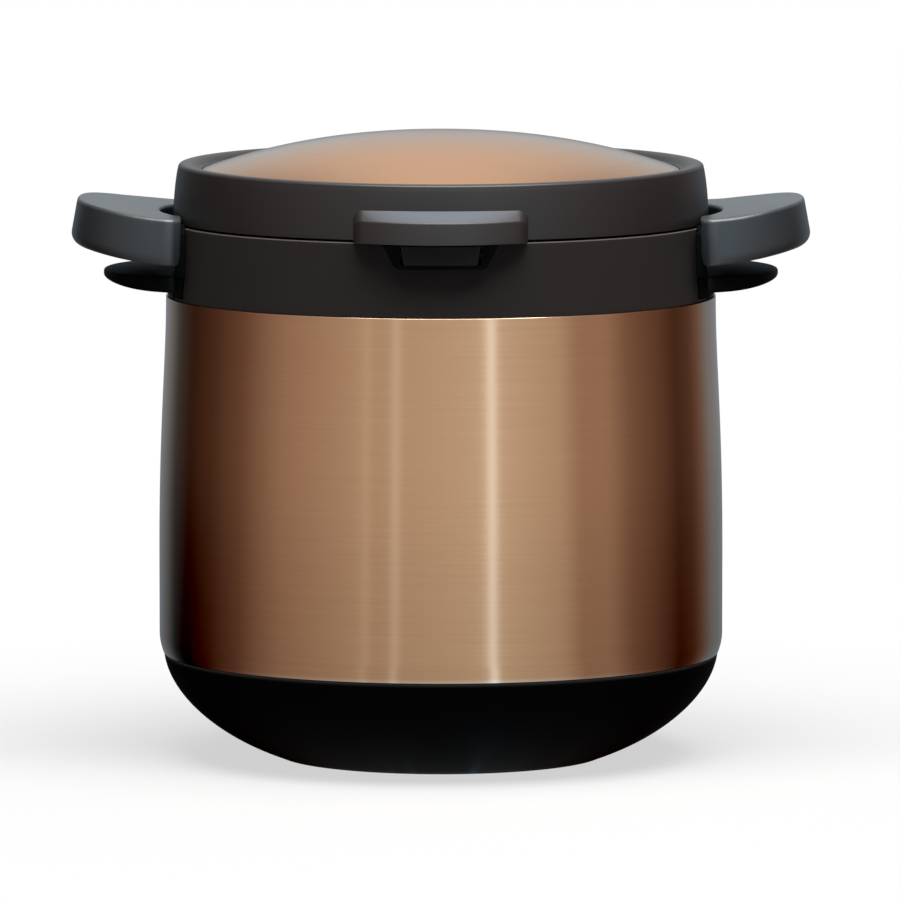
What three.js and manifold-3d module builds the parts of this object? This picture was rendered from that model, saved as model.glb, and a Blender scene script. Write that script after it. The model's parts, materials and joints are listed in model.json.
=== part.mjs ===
// A thermal cooker: a vacuum-insulated steel body on a black base cup, with a plastic collar that
// carries two ear grips, a hinged domed lid with a push-button latch, and a removable inner pot.
// Millimetres, +Z up, and the front of the cooker faces -Y. The origin is the centre of the foot,
// on the table.
import * as THREE from "three";
import { mergeVertices, toCreasedNormals } from "three/addons/utils/BufferGeometryUtils.js";
import Module from "manifold-3d";

const wasm = await Module();
wasm.setup();

// Driving heights, stacked from the table up
const BASE_HEIGHT = 48; // base cup, up to its seam with the steel
const STEEL_HEIGHT = 165.7; // steel wall that shows between the base cup and the collar
const GUARD_LIFT = 1.5; // of a guard above the steel's shoulder
const GUARD_ROOT = 10.8; // thickness of a guard at its root
const GRIP_GAP = 5; // room for fingers between a guard and the ear grip over it
const GRIP_THICKNESS = 20;
const GRIP_RISE = 3.6; // of an ear grip's top above the collar, at its root
const LID_SEAM = 1; // shadow gap between the collar and the lid
const SKIRT_HEIGHT = 27.9; // lid ring, from its lower edge to its crest
const DOME_RISE = 17.5; // lid dome, from its edge to its top

// Driving radii, from the mouth out
const MOUTH_RADIUS = 112; // inside of the liner
const JACKET_DEPTH = 18.2; // liner, vacuum and steel wall together, at the widest
const RIM_BREADTH = 11.4; // lid ring, outside the mouth
const CREST_BREADTH = 13.4; // from the outside of the lid ring in to the dome's edge

// Clearances
const FIT = 0.3; // between pieces that seat on one another
const RUNNING = 0.1; // round the hinge pin, in radius
const OVERRUN = 3; // how far a cutting tool runs past what it cuts

// Facets
const ROUND = 32; // of a large turned piece
const POT_ROUND = 24; // of the loose inner pot and its lid
const SMALL_ROUND = 16; // of a pin or a knob
const SCREW_ROUND = 8;

const seamZ = BASE_HEIGHT;
const shoulderZ = seamZ + STEEL_HEIGHT;
const guardTopZ = shoulderZ + GUARD_LIFT + GUARD_ROOT;
const collarTopZ = guardTopZ + GRIP_GAP + GRIP_THICKNESS - GRIP_RISE;
const lidZ = collarTopZ + LID_SEAM;
const crestZ = lidZ + SKIRT_HEIGHT;
const bodyRadius = MOUTH_RADIUS + JACKET_DEPTH;
const lidRadius = MOUTH_RADIUS + RIM_BREADTH;
const domeRadius = lidRadius - CREST_BREADTH;

// Colours and finishes
const finish = (color, roughness, metalness = 0) =>
  new THREE.MeshStandardMaterial({ color, roughness, metalness });
const copperSteel = finish(0xb0835f, 0.35, 0.9);
const plainSteel = finish(0xb9bbbd, 0.3, 0.95);
const blackPlastic = finish(0x101012, 0.6);
const glossPlastic = finish(0x0b0c0d, 0.2);
const collarPlastic = finish(0x2b2725, 0.55);
const lidPlastic = finish(0x35312f, 0.5);
const gripPlastic = finish(0x3a4247, 0.55);
const panPlastic = finish(0x3c3c3e, 0.6);
const rubber = finish(0x1c1c1e, 0.9);
const silicone = finish(0xa8aaa6, 0.7);
const foam = finish(0xd9cfae, 0.95);

// A closed three.js geometry as a solid that can be joined and cut.
function solid(geometry) {
  const bare = geometry.index ? geometry.toNonIndexed() : geometry.clone();
  bare.deleteAttribute("normal");
  bare.deleteAttribute("uv");
  const welded = mergeVertices(bare);
  const mesh = new wasm.Mesh({
    numProp: 3,
    vertProperties: welded.attributes.position.array,
    triVerts: new Uint32Array(welded.index.array),
  });
  return new wasm.Manifold(mesh);
}

const cut = (body, ...tools) => tools.reduce((left, tool) => left.subtract(tool), body);
const join = (body, ...others) => others.reduce((whole, other) => whole.add(other), body);

// A solid back as a three.js geometry.
function asGeometry(body) {
  const mesh = body.getMesh();
  const geometry = new THREE.BufferGeometry();
  geometry.setAttribute("position", new THREE.BufferAttribute(mesh.vertProperties, 3));
  geometry.setIndex(new THREE.BufferAttribute(mesh.triVerts, 1));
  return geometry;
}

// A named mesh from a solid, shaded with its sharp edges kept.
function piece(name, body, material) {
  const made = new THREE.Mesh(toCreasedNormals(asGeometry(body), Math.PI / 6), material);
  made.name = name;
  return made;
}

const at = (r, z) => new THREE.Vector2(r, z);

// Points along a curve, with its first point left out where it continues a profile.
const along = (curve, divisions) => curve.getPoints(divisions).slice(1);

// A quarter round in a profile, from one point to another by way of the corner between them.
const rounded = (from, corner, to, divisions) =>
  along(new THREE.QuadraticBezierCurve(from, corner, to), divisions);

// A profile of radius and height turned about +Z. It starts and ends on the axis, or is closed here.
function turned(profile, segments = ROUND) {
  const points = THREE.ShapeUtils.isClockWise(profile) ? profile.slice().reverse() : profile.slice();
  if (profile[0].x > 0) points.push(points[0]);
  return new THREE.LatheGeometry(points, segments).rotateX(Math.PI / 2);
}

// A plain disc or cylinder about +Z.
const drum = (radius, low, high, segments = ROUND) =>
  turned([at(0, low), at(radius, low), at(radius, high), at(0, high)], segments);

// A ring of rectangular section about +Z.
const ring = (inner, outer, low, high) =>
  turned([at(inner, low), at(outer, low), at(outer, high), at(inner, high)]);

// A block between two opposite corners.
function block(low, high) {
  const size = high.map((value, i) => value - low[i]);
  const middle = high.map((value, i) => (value + low[i]) / 2);
  return new THREE.BoxGeometry(...size).translate(...middle);
}

// An outline in X and Z, pushed out along Y from the front to the back.
function alongY(outline, front, back) {
  const options = { depth: back - front, bevelEnabled: false };
  return new THREE.ExtrudeGeometry(new THREE.Shape(outline), options)
    .rotateX(Math.PI / 2)
    .translate(0, back, 0);
}

// An outline in Y and Z, pushed out along X to both sides of the middle.
function alongX(outline, halfWidth) {
  const options = { depth: 2 * halfWidth, bevelEnabled: false };
  return new THREE.ExtrudeGeometry(new THREE.Shape(outline), options)
    .translate(0, 0, -halfWidth)
    .applyMatrix4(new THREE.Matrix4().set(0, 0, 1, 0, 1, 0, 0, 0, 0, 1, 0, 0, 0, 0, 0, 1));
}

// A rod along X between two places.
const rodX = (radius, from, to, y, z, segments = SMALL_ROUND) =>
  drum(radius, from, to, segments).rotateY(Math.PI / 2).translate(0, y, z);

// A rod along Y between two places.
const rodY = (radius, from, to, x, z, segments = SMALL_ROUND) =>
  drum(radius, -to, -from, segments).rotateX(Math.PI / 2).translate(x, 0, z);

// A closed outline moved inwards by the same amount all round, with its corners kept.
function inset(outline, amount) {
  return outline.map((point, i) => {
    const before = outline[(i + outline.length - 1) % outline.length];
    const after = outline[(i + 1) % outline.length];
    const a = point.clone().sub(before).normalize();
    const b = after.clone().sub(point).normalize();
    const left = at(-a.y - b.y, a.x + b.x);
    return point.clone().add(left.multiplyScalar(amount / (1 + a.dot(b))));
  });
}

// A solid of stacked rings: each layer is the outline at a height, moved in by its inset.
function layered(outline, layers) {
  const count = outline.length;
  const rings = layers.map(({ height, draw }) =>
    inset(outline, draw).map((p) => [p.x, p.y, height]),
  );
  const caps = THREE.ShapeUtils.triangulateShape(outline, []);
  const top = (layers.length - 1) * count;
  const index = caps.flatMap(([a, b, c]) => [c, b, a, top + a, top + b, top + c]);
  for (let k = 0; k + 1 < layers.length; k++)
    for (let i = 0; i < count; i++) {
      const a = k * count + i;
      const b = k * count + ((i + 1) % count);
      index.push(a, b, b + count, a, b + count, a + count);
    }
  const geometry = new THREE.BufferGeometry();
  geometry.setAttribute("position", new THREE.Float32BufferAttribute(rings.flat(2), 3));
  geometry.setIndex(index);
  return geometry;
}

// A solid between rows of points with equal counts, skinned round in order and closed at both ends.
function sweptRows(rows) {
  const count = rows[0].length;
  const index = [];
  rows.forEach((_, k) => {
    const next = (k + 1) % rows.length;
    for (let i = 0; i + 1 < count; i++) {
      const [a, b] = [k * count + i, next * count + i];
      index.push(a, a + 1, b + 1, a, b + 1, b);
    }
  });
  for (let k = 1; k + 1 < rows.length; k++) {
    index.push(0, k * count, (k + 1) * count);
    index.push(count - 1, (k + 2) * count - 1, (k + 1) * count - 1);
  }
  const geometry = new THREE.BufferGeometry();
  geometry.setAttribute("position", new THREE.Float32BufferAttribute(rows.flat(2), 3));
  geometry.setIndex(index);
  return geometry;
}

// Layers of a slab whose lower and upper edges are rounded to their own radii.
function roundedEdges(low, high, lowRadius, highRadius, lowSteps, highSteps) {
  const layers = [];
  for (let k = 0; k <= lowSteps; k++) {
    const turn = (k / lowSteps) * (Math.PI / 2);
    layers.push({
      height: low + lowRadius * (1 - Math.cos(turn)),
      draw: lowRadius * (1 - Math.sin(turn)),
    });
  }
  for (let k = 0; k <= highSteps; k++) {
    const turn = (k / highSteps) * (Math.PI / 2);
    layers.push({
      height: high - highRadius * (1 - Math.sin(turn)),
      draw: highRadius * (1 - Math.cos(turn)),
    });
  }
  return layers;
}

// A screw: its head lies below the origin of its own frame and its shank points up +Z.
const screwSizes = {
  grip: { headRadius: 3.6, headHeight: 2.6, shankRadius: 1.9, length: 15 },
  guard: { headRadius: 3.2, headHeight: 2.2, shankRadius: 1.6, length: 12 },
  housing: { headRadius: 2.2, headHeight: 1.5, shankRadius: 1.1, length: 8 },
  hook: { headRadius: 2.2, headHeight: 1.2, shankRadius: 1.1, length: 7 },
  tab: { headRadius: 3, headHeight: 2, shankRadius: 1.5, length: 9 },
  bracket: { headRadius: 3.4, headHeight: 2.2, shankRadius: 1.7, length: 12 },
  leaf: { headRadius: 3, headHeight: 2, shankRadius: 1.5, length: 10 },
  pan: { headRadius: 3, headHeight: 1.8, shankRadius: 1.4, length: 9 },
  knob: { headRadius: 4, headHeight: 2.2, shankRadius: 2, length: 12 },
};

function screw(name, kind, group, position, direction) {
  const { headRadius, headHeight, shankRadius, length } = screwSizes[kind];
  const profile = [
    at(0, -headHeight),
    at(headRadius, -headHeight),
    at(headRadius, 0),
    at(shankRadius, 0),
    at(shankRadius, length),
    at(0, length),
  ];
  const made = piece(name, solid(turned(profile, SCREW_ROUND)), plainSteel);
  made.position.set(...position);
  made.quaternion.setFromUnitVectors(new THREE.Vector3(0, 0, 1), direction);
  group.add(made);
}

// The hole that a screw needs where it is driven in, with room for its head if it lies deeper.
function screwHole(kind, position, direction, headDepth = 0) {
  const { headRadius, shankRadius, length } = screwSizes[kind];
  const place = new THREE.Matrix4().compose(
    new THREE.Vector3(...position),
    new THREE.Quaternion().setFromUnitVectors(new THREE.Vector3(0, 0, 1), direction),
    new THREE.Vector3(1, 1, 1),
  );
  const shank = drum(shankRadius + FIT, -OVERRUN, length + FIT, SCREW_ROUND);
  const hole = solid(shank.applyMatrix4(place));
  if (headDepth === 0) return hole;
  const head = drum(headRadius + FIT, -headDepth, 0, SCREW_ROUND);
  return join(hole, solid(head.applyMatrix4(place)));
}

const towards = {
  out: new THREE.Vector3(1, 0, 0),
  front: new THREE.Vector3(0, -1, 0),
  up: new THREE.Vector3(0, 0, 1),
};
const sides = { left: -1, right: 1 };

// Base cup and foot pad
const CUP_DRAW = 2.2; // of its rim inside the steel wall's widest
const CUP_FOOT_RADIUS = 77.5;
const CUP_WALL = 3;
const PAD_EDGE = 1.9; // from the pad's edge out to the cup's foot
const PAD_THICKNESS = 2.5;
const PAD_PROUD = 1; // how far the pad stands below the cup
const cupRimRadius = bodyRadius - CUP_DRAW;
const padRadius = CUP_FOOT_RADIUS - PAD_EDGE;
const cupPullShares = { rimRadius: 0.979, rimHeight: 0.604, footRadius: 0.821, footHeight: 0.229 };

// The cup's rounding, from its foot up to its rim, drawn in by a wall.
function cupCurve(wall) {
  const pull = cupPullShares;
  return new THREE.CubicBezierCurve(
    at(CUP_FOOT_RADIUS, PAD_PROUD + wall),
    at(cupRimRadius * pull.footRadius - wall / 2, seamZ * pull.footHeight + wall),
    at(cupRimRadius * pull.rimRadius - wall, seamZ * pull.rimHeight + wall / 2),
    at(cupRimRadius - wall, seamZ),
  );
}

function base(group) {
  const padTop = PAD_THICKNESS;
  const profile = [
    at(0, padTop),
    at(padRadius + FIT, padTop),
    at(padRadius + FIT, PAD_PROUD),
    ...cupCurve(0).getPoints(7),
    ...cupCurve(CUP_WALL).getPoints(3).reverse(),
    at(0, PAD_PROUD + CUP_WALL),
  ];
  group.add(piece("base_cup", solid(turned(profile)), blackPlastic));
  group.add(piece("foot_pad", solid(drum(padRadius, 0, padTop)), rubber));
}

// Vacuum vessel: steel shell, bottom plate, seal cap, liner
const SHELL_WALL = 0.9;
const HEEL_DRAW = 1.8; // how far the wall draws in at the seam with the base
const HEEL_HEIGHT = 9.3;
const WAIST_HEIGHT = 47; // above the seam, where the wall starts to lean in
const TOP_DRAW = 3.35; // how far the wall has drawn in at the shoulder
const SHOULDER_ROUND = 0.85;
const SKIRT_TOP_DRAW = 9; // step of the hidden skirt, inside the cup's rim
const SKIRT_FOOT_DRAW = 17.2;
const LINER_WALL = 0.8;
const LINER_CORNER = 12;
const VACUUM_GAP = 3;
const PLATE_THICKNESS = 1.2;
const PLATE_STEP = 2; // how far the plate's middle is pressed up
const PLATE_STEP_RADIUS = 76;
const CAP_RADIUS = 12;
const CAP_HEIGHT = 3;
const RIM_WIDTH = 2; // the liner's rim, rolled over the neck
const SEAL_THICKNESS = 1;
const COLLAR_FLANGE = 2.8;
const skirtDepthShare = 0.417; // of the base's height
const taperPullShares = { lower: 0.51, upper: 0.25 };

const neckRadius = MOUTH_RADIUS + RIM_WIDTH;
const rimZ = collarTopZ - COLLAR_FLANGE - SEAL_THICKNESS;
const shellFootZ = seamZ + FIT;
const plateZ = shellFootZ - BASE_HEIGHT * skirtDepthShare;
const linerFloorZ = plateZ + PLATE_STEP + PLATE_THICKNESS + VACUUM_GAP + LINER_WALL;

// The steel wall's outline from the seam to the shoulder, drawn in by a wall.
function wallCurve(wall, low, high, heelSteps, leanSteps) {
  const radius = bodyRadius - wall;
  const waistZ = seamZ + WAIST_HEIGHT;
  const taper = high - waistZ;
  const heel = new THREE.QuadraticBezierCurve(
    at(radius - HEEL_DRAW, low),
    at(radius, low + HEEL_HEIGHT / 2),
    at(radius, low + HEEL_HEIGHT),
  );
  const lean = new THREE.CubicBezierCurve(
    at(radius, waistZ),
    at(radius, waistZ + taper * taperPullShares.lower),
    at(radius - TOP_DRAW, high - taper * taperPullShares.upper),
    at(radius - TOP_DRAW, high),
  );
  return [...heel.getPoints(heelSteps), ...lean.getPoints(leanSteps)];
}

function vessel(group) {
  const neckTopZ = rimZ - LINER_WALL;
  const topRadius = bodyRadius - TOP_DRAW;
  const skirtTop = bodyRadius - SKIRT_TOP_DRAW;
  const skirtFoot = bodyRadius - SKIRT_FOOT_DRAW;
  const shell = [
    at(skirtFoot, plateZ),
    at(skirtTop, shellFootZ),
    ...wallCurve(0, shellFootZ, shoulderZ - SHOULDER_ROUND, 2, 4),
    at(topRadius - SHOULDER_ROUND, shoulderZ),
    at(neckRadius, shoulderZ),
    at(neckRadius, neckTopZ),
    at(neckRadius - SHELL_WALL, neckTopZ),
    at(neckRadius - SHELL_WALL, shoulderZ - SHELL_WALL),
    ...wallCurve(SHELL_WALL, shellFootZ + SHELL_WALL, shoulderZ - SHELL_WALL, 1, 2).reverse(),
    at(skirtTop - SHELL_WALL, shellFootZ + SHELL_WALL),
    at(skirtFoot - SHELL_WALL, plateZ),
  ];
  group.add(piece("outer_shell", solid(turned(shell)), copperSteel));

  const plateRadius = skirtFoot - SHELL_WALL - FIT;
  const stepInner = PLATE_STEP_RADIUS - 2 * PLATE_STEP;
  const plateTop = plateZ + PLATE_THICKNESS;
  const plate = [
    at(0, plateZ + PLATE_STEP),
    at(stepInner, plateZ + PLATE_STEP),
    at(PLATE_STEP_RADIUS, plateZ),
    at(plateRadius, plateZ),
    at(plateRadius, plateTop),
    at(PLATE_STEP_RADIUS, plateTop),
    at(stepInner, plateTop + PLATE_STEP),
    at(0, plateTop + PLATE_STEP),
  ];
  group.add(piece("bottom_plate", solid(turned(plate)), plainSteel));

  const capTop = plateZ + PLATE_STEP;
  const cap = drum(CAP_RADIUS, capTop - CAP_HEIGHT, capTop, SMALL_ROUND);
  group.add(piece("vacuum_seal_cap", solid(cap), plainSteel));

  const outer = MOUTH_RADIUS + LINER_WALL;
  const underZ = linerFloorZ - LINER_WALL;
  const cornerZ = linerFloorZ + LINER_CORNER;
  const liner = [
    at(0, underZ),
    at(outer - LINER_CORNER, underZ),
    ...rounded(at(outer - LINER_CORNER, underZ), at(outer, underZ), at(outer, cornerZ), 2),
    at(outer, rimZ - LINER_WALL),
    at(neckRadius, rimZ - LINER_WALL),
    at(neckRadius, rimZ),
    at(MOUTH_RADIUS, rimZ),
    at(MOUTH_RADIUS, cornerZ),
    ...rounded(
      at(MOUTH_RADIUS, cornerZ),
      at(MOUTH_RADIUS, linerFloorZ),
      at(MOUTH_RADIUS - LINER_CORNER, linerFloorZ),
      2,
    ),
    at(0, linerFloorZ),
  ];
  group.add(piece("inner_liner", solid(turned(liner)), plainSteel));
  const seal = ring(MOUTH_RADIUS + FIT, neckRadius, rimZ, rimZ + SEAL_THICKNESS);
  group.add(piece("mouth_seal", solid(seal), silicone));
}

// Collar, with a recess for each ear grip and a pocket for the latch
const COLLAR_FOOT_DRAW = 4.2; // of its foot inside the steel wall's widest
const COLLAR_LEAD = 0.2; // of its top outside the lid ring
const COLLAR_EDGE = 0.8;
const COLLAR_LIP = 0.4; // how far the flange's bore stands clear of the liner
const RECESS_WALL = 2.7; // of the collar, between its bore and a recess
const RECESS_HALF_WIDTH = 44;
const RECESS_SILL = 1;

const collarFootRadius = bodyRadius - COLLAR_FOOT_DRAW;
const collarTopRadius = lidRadius + COLLAR_LEAD;
const collarBore = neckRadius + FIT;
const recessX = collarBore + RECESS_WALL;
const recessFloorZ = shoulderZ + RECESS_SILL;

// Latch, on the collar's front
const POCKET_WALL = 1.7; // of the collar, behind the pocket
const HOUSING_TOP_WALL = 8.35; // beside the button, at the top
const HOUSING_FOOT_WALL = 2.5; // beside the button, at the foot
const HOUSING_FLOOR = 2.2; // under the button
const HOUSING_ROUND = 2.5;
const HOUSING_BACK_WALL = 1.4;
const BUTTON_HALF_WIDTH = 18;
const BUTTON_HEIGHT = 9;
const BUTTON_PROUD = 3; // of its face, in front of the housing
const BUTTON_TRAVEL = 2;
const BUTTON_DROP = 0.2; // of its top below the housing's
const BUTTON_CORNER = 1.5;
const BUTTON_FRONT_WALL = 3;
const BUTTON_WINDOW = 9.4; // from its front wall back to its bar
const BUTTON_RAIL = 7; // width of each side rail
const BAR_THICKNESS = 1.6;
const BAR_HEIGHT = 3.9;
const TONGUE_REACH = 1.6;
const TONGUE_HEIGHT = 2;
const TONGUE_LENGTH = 8;
const TONGUE_SETBACK = 5; // of its front end, behind the button's face
const HOUSING_SCREW_MARGIN = 3.8; // of a screw, beside the button
const HOUSING_SCREW_DROP = 2.6; // below the collar's top
const SPRING_RADIUS = 2.1;
const SPRING_WIRE = 0.35; // radius of the wire
const SPRING_TURNS = 5;
const SPRING_SLACK = 0.4; // between a spring and its bore

const pocketBackY = -(collarBore + POCKET_WALL);
const housingBackY = pocketBackY - FIT;
const cavityBackY = housingBackY - HOUSING_BACK_WALL;
const barBackY = cavityBackY - FIT - BUTTON_TRAVEL;
const barFrontY = barBackY - BAR_THICKNESS;
const frontWallY = barFrontY - BUTTON_WINDOW;
const buttonReach = BUTTON_FRONT_WALL - frontWallY;
const housingReach = buttonReach - BUTTON_PROUD;
const buttonTopZ = collarTopZ - BUTTON_DROP;
const buttonFootZ = buttonTopZ - BUTTON_HEIGHT;
const buttonMiddleZ = buttonTopZ - BUTTON_HEIGHT / 2;
const barLowZ = buttonTopZ - BAR_HEIGHT;
const railMiddleX = BUTTON_HALF_WIDTH - BUTTON_RAIL / 2;
const housingTopHalf = BUTTON_HALF_WIDTH + HOUSING_TOP_WALL;
const housingFootHalf = BUTTON_HALF_WIDTH + HOUSING_FOOT_WALL;
const housingHeight = BUTTON_DROP + BUTTON_HEIGHT + HOUSING_FLOOR;
const housingScrewX = BUTTON_HALF_WIDTH + HOUSING_SCREW_MARGIN;
const housingScrewZ = collarTopZ - HOUSING_SCREW_DROP;

// The latch housing's outline seen from the front: wide at the top, with rounded lower corners.
// The collar's pocket for it is the same outline with a gap all round, raised past the collar's top.
function housingOutline(gap, rise) {
  const slope = (housingTopHalf - housingFootHalf) / housingHeight;
  const top = housingTopHalf + gap + rise * slope;
  const foot = housingFootHalf + gap;
  const footZ = collarTopZ - housingHeight - gap;
  const lean = slope * HOUSING_ROUND;
  const half = [
    at(foot - HOUSING_ROUND, footZ),
    ...rounded(
      at(foot - HOUSING_ROUND, footZ),
      at(foot, footZ),
      at(foot + lean, footZ + HOUSING_ROUND),
      3,
    ),
    at(top, collarTopZ + rise),
  ];
  return [...half, ...half.map((p) => at(-p.x, p.y)).reverse()];
}

// Ear grips and guards, in the frame of one side of the cooker: +X points out
const GRIP_STAND = 4; // of its inner end faces, out from the recess
const GRIP_TILT = THREE.MathUtils.degToRad(10.3);
const GRIP_LENGTH = 49; // from its inner end faces out to its tip
const GRIP_HALF_LENGTH = 60;
const GRIP_BULGE = 16; // how far inside the root the outline's centre lies
const GRIP_POWER = 2.6; // 2 is an ellipse, and more is squarer
const GRIP_CORNER = 4;
const GRIP_LOW_ROUND = 5;
const GRIP_TOP_ROUND = 1.8;
const SLOT_DEPTH = 8.6; // of the lens-shaped slot, into the grip
const SLOT_HALF_LENGTH = 35;
const FOOT_HALF_WIDTH = 4; // of the two feet that fasten it in the recess
const FOOT_MARGIN = 0.5; // from a foot out to the recess's end
const FOOT_RISE = 1.4; // of a foot's underside above the grip's
const FOOT_DROP = 5.6; // of a foot's top below the grip's
const GUARD_STAND = 5; // of its straight edge, out from the recess
const GUARD_LENGTH = 33.5; // from there to its tip
const GUARD_BULGE = 16.5; // how far inside that edge the outline's centre lies
const GUARD_HALF_LENGTH = 58;
const GUARD_EDGE = 5; // thickness at the tip
const GUARD_TOP_ROUND = 1.2;
const GUARD_TONGUE_MARGIN = 5; // from the tongue's end out to the recess's
const GUARD_SCREW_MARGIN = 6; // from a screw out to the tongue's end
const GUARD_SCREW_DROP = 4.6; // below the guard's top
const RECESS_WEB = 4; // of the collar, under a screw's head behind a recess
const HEAD_ROOM = 12; // depth of the hole for that head, inwards

const gripRoot = recessX + GRIP_STAND;
const gripTopZ = collarTopZ + GRIP_RISE;
const footY = RECESS_HALF_WIDTH - FOOT_MARGIN - FOOT_HALF_WIDTH;
const footLowZ = gripTopZ - GRIP_THICKNESS + FOOT_RISE;
const footHighZ = gripTopZ - FOOT_DROP;
const guardRoot = recessX + GUARD_STAND;
const guardReach = guardRoot + GUARD_LENGTH;
const guardTongueHalf = RECESS_HALF_WIDTH - GUARD_TONGUE_MARGIN;

// The places of the screws of one side.
const sideScrews = [
  { kind: "grip", z: (footLowZ + footHighZ) / 2, y: footY },
  { kind: "guard", z: guardTopZ - GUARD_SCREW_DROP, y: guardTongueHalf - GUARD_SCREW_MARGIN },
].flatMap(({ kind, z, y }) => [
  { kind, position: [recessX - RECESS_WEB, -y, z] },
  { kind, position: [recessX - RECESS_WEB, y, z] },
]);

function sideCuts() {
  const recess = block(
    [recessX, -RECESS_HALF_WIDTH, recessFloorZ],
    [bodyRadius + OVERRUN, RECESS_HALF_WIDTH, collarTopZ + OVERRUN],
  );
  const holes = sideScrews.map(({ kind, position }) =>
    screwHole(kind, position, towards.out, HEAD_ROOM),
  );
  return join(solid(recess), ...holes);
}

// Hinge, on the collar's back
const HINGE_RISE = 1.1; // of the pin above the lid's lower edge
const HINGE_SETBACK = 10.6; // of the pin behind the lid ring
const KNUCKLE_RADIUS = 4.5;
const PIN_RADIUS = 2;
const PIN_HEAD_RADIUS = 3.2;
const PIN_HEAD = 2;
const LEAF_HALF_WIDTH = 17.9;
const BRACKET_HALF_WIDTH = 28;
const BRACKET_TOP_DROP = 1.4; // below the collar's top
const BRACKET_FOOT_DROP = 24;
const BRACKET_THICKNESS = 4.4;
const BRACKET_SCREW_X = 21;
const BRACKET_SCREW_DROP = 16;
const WEB_THICKNESS = 3.5;
const WEB_FOOT_DROP = 8;
const LEAF_THICKNESS = 3.4;
const LEAF_HEIGHT = 17;
const LEAF_ARM_HEIGHT = 5;
const LEAF_SCREW_X = 10;
const LEAF_SCREW_RISE = 12; // above the lid's lower edge
const LEAF_BOSS_DEPTH = 6;
const LEAF_BOSS_HALF_WIDTH = 15;

const hingeZ = lidZ + HINGE_RISE;
const hingeReach = lidRadius + HINGE_SETBACK;
const leafScrewZ = lidZ + LEAF_SCREW_RISE;
const bracketBackY = collarTopRadius + FIT + BRACKET_THICKNESS;
const bracketScrewZ = collarTopZ - BRACKET_SCREW_DROP;
const leafBackY = lidRadius + FIT + LEAF_THICKNESS;
const bracketScrewAt = (side) => [side * BRACKET_SCREW_X, bracketBackY, bracketScrewZ];
const leafScrewAt = (side) => [side * LEAF_SCREW_X, leafBackY, leafScrewZ];
const housingScrewAt = (side) => [side * housingScrewX, pocketBackY + POCKET_WALL, housingScrewZ];

// The collar's tapered outer wall, moved out by a gap, as a solid drum.
function collarDrum(gap) {
  return turned([
    at(0, shoulderZ),
    at(collarFootRadius + gap, shoulderZ),
    at(collarTopRadius + gap, collarTopZ),
    at(0, collarTopZ),
  ]);
}

function collar(group) {
  const flangeZ = rimZ + SEAL_THICKNESS;
  const mouth = MOUTH_RADIUS + COLLAR_LIP;
  const body = solid(
    turned([
      at(collarBore, shoulderZ),
      at(collarFootRadius, shoulderZ),
      at(collarTopRadius, collarTopZ - COLLAR_EDGE),
      at(collarTopRadius - COLLAR_EDGE, collarTopZ),
      at(mouth + COLLAR_EDGE, collarTopZ),
      at(mouth, collarTopZ - COLLAR_EDGE),
      at(mouth, flangeZ),
      at(collarBore, flangeZ),
    ]),
  );
  const pocket = solid(alongY(housingOutline(FIT, OVERRUN), -bodyRadius, pocketBackY));
  const right = sideCuts();
  const left = solid(asGeometry(right).rotateZ(Math.PI));
  const holes = Object.values(sides).flatMap((side) => [
    screwHole("housing", housingScrewAt(side), towards.front, screwSizes.housing.headHeight + OVERRUN),
    screwHole("bracket", bracketScrewAt(side), towards.front),
  ]);
  group.add(piece("collar", cut(body, pocket, right, left, ...holes), collarPlastic));
}

// The ear's outline in its own tilted plane: u runs out from the root, v along the body. Its inner
// side is the lens-shaped slot, between two end faces with rounded corners.
function gripOutline() {
  const level = Math.cos(GRIP_TILT);
  const lean = (GRIP_THICKNESS - GRIP_LOW_ROUND) * Math.sin(GRIP_TILT);
  const tip = (GRIP_LENGTH - lean) / level;
  const centre = -GRIP_BULGE / level;
  const reach = tip - centre;
  const vAt = (u) =>
    GRIP_HALF_LENGTH * Math.pow(1 - Math.pow((u - centre) / reach, GRIP_POWER), 1 / GRIP_POWER);
  const half = [at(0, SLOT_HALF_LENGTH)];
  const cornerStart = at(0, vAt(0) - GRIP_CORNER);
  half.push(cornerStart);
  half.push(...rounded(cornerStart, at(0, vAt(0)), at(GRIP_CORNER, vAt(GRIP_CORNER)), 3));
  const startTurn = Math.acos(Math.pow((GRIP_CORNER - centre) / reach, GRIP_POWER / 2));
  const steps = 10;
  for (let k = 1; k < steps; k++) {
    const turn = startTurn * (1 - k / steps);
    half.push(
      at(
        centre + reach * Math.pow(Math.cos(turn), 2 / GRIP_POWER),
        GRIP_HALF_LENGTH * Math.pow(Math.sin(turn), 2 / GRIP_POWER),
      ),
    );
  }
  const other = half.map((p) => at(p.x, -p.y)).reverse();
  const slotRadius = (SLOT_DEPTH ** 2 + SLOT_HALF_LENGTH ** 2) / (2 * SLOT_DEPTH);
  const slot = [];
  const slotSteps = 8;
  const slotTurn = Math.asin(SLOT_HALF_LENGTH / slotRadius);
  for (let k = 1; k < slotSteps; k++) {
    const turn = slotTurn * ((2 * k) / slotSteps - 1);
    slot.push(at(SLOT_DEPTH - slotRadius * (1 - Math.cos(turn)), slotRadius * Math.sin(turn)));
  }
  return [...half, at(tip, 0), ...other, ...slot].reverse();
}

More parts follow.
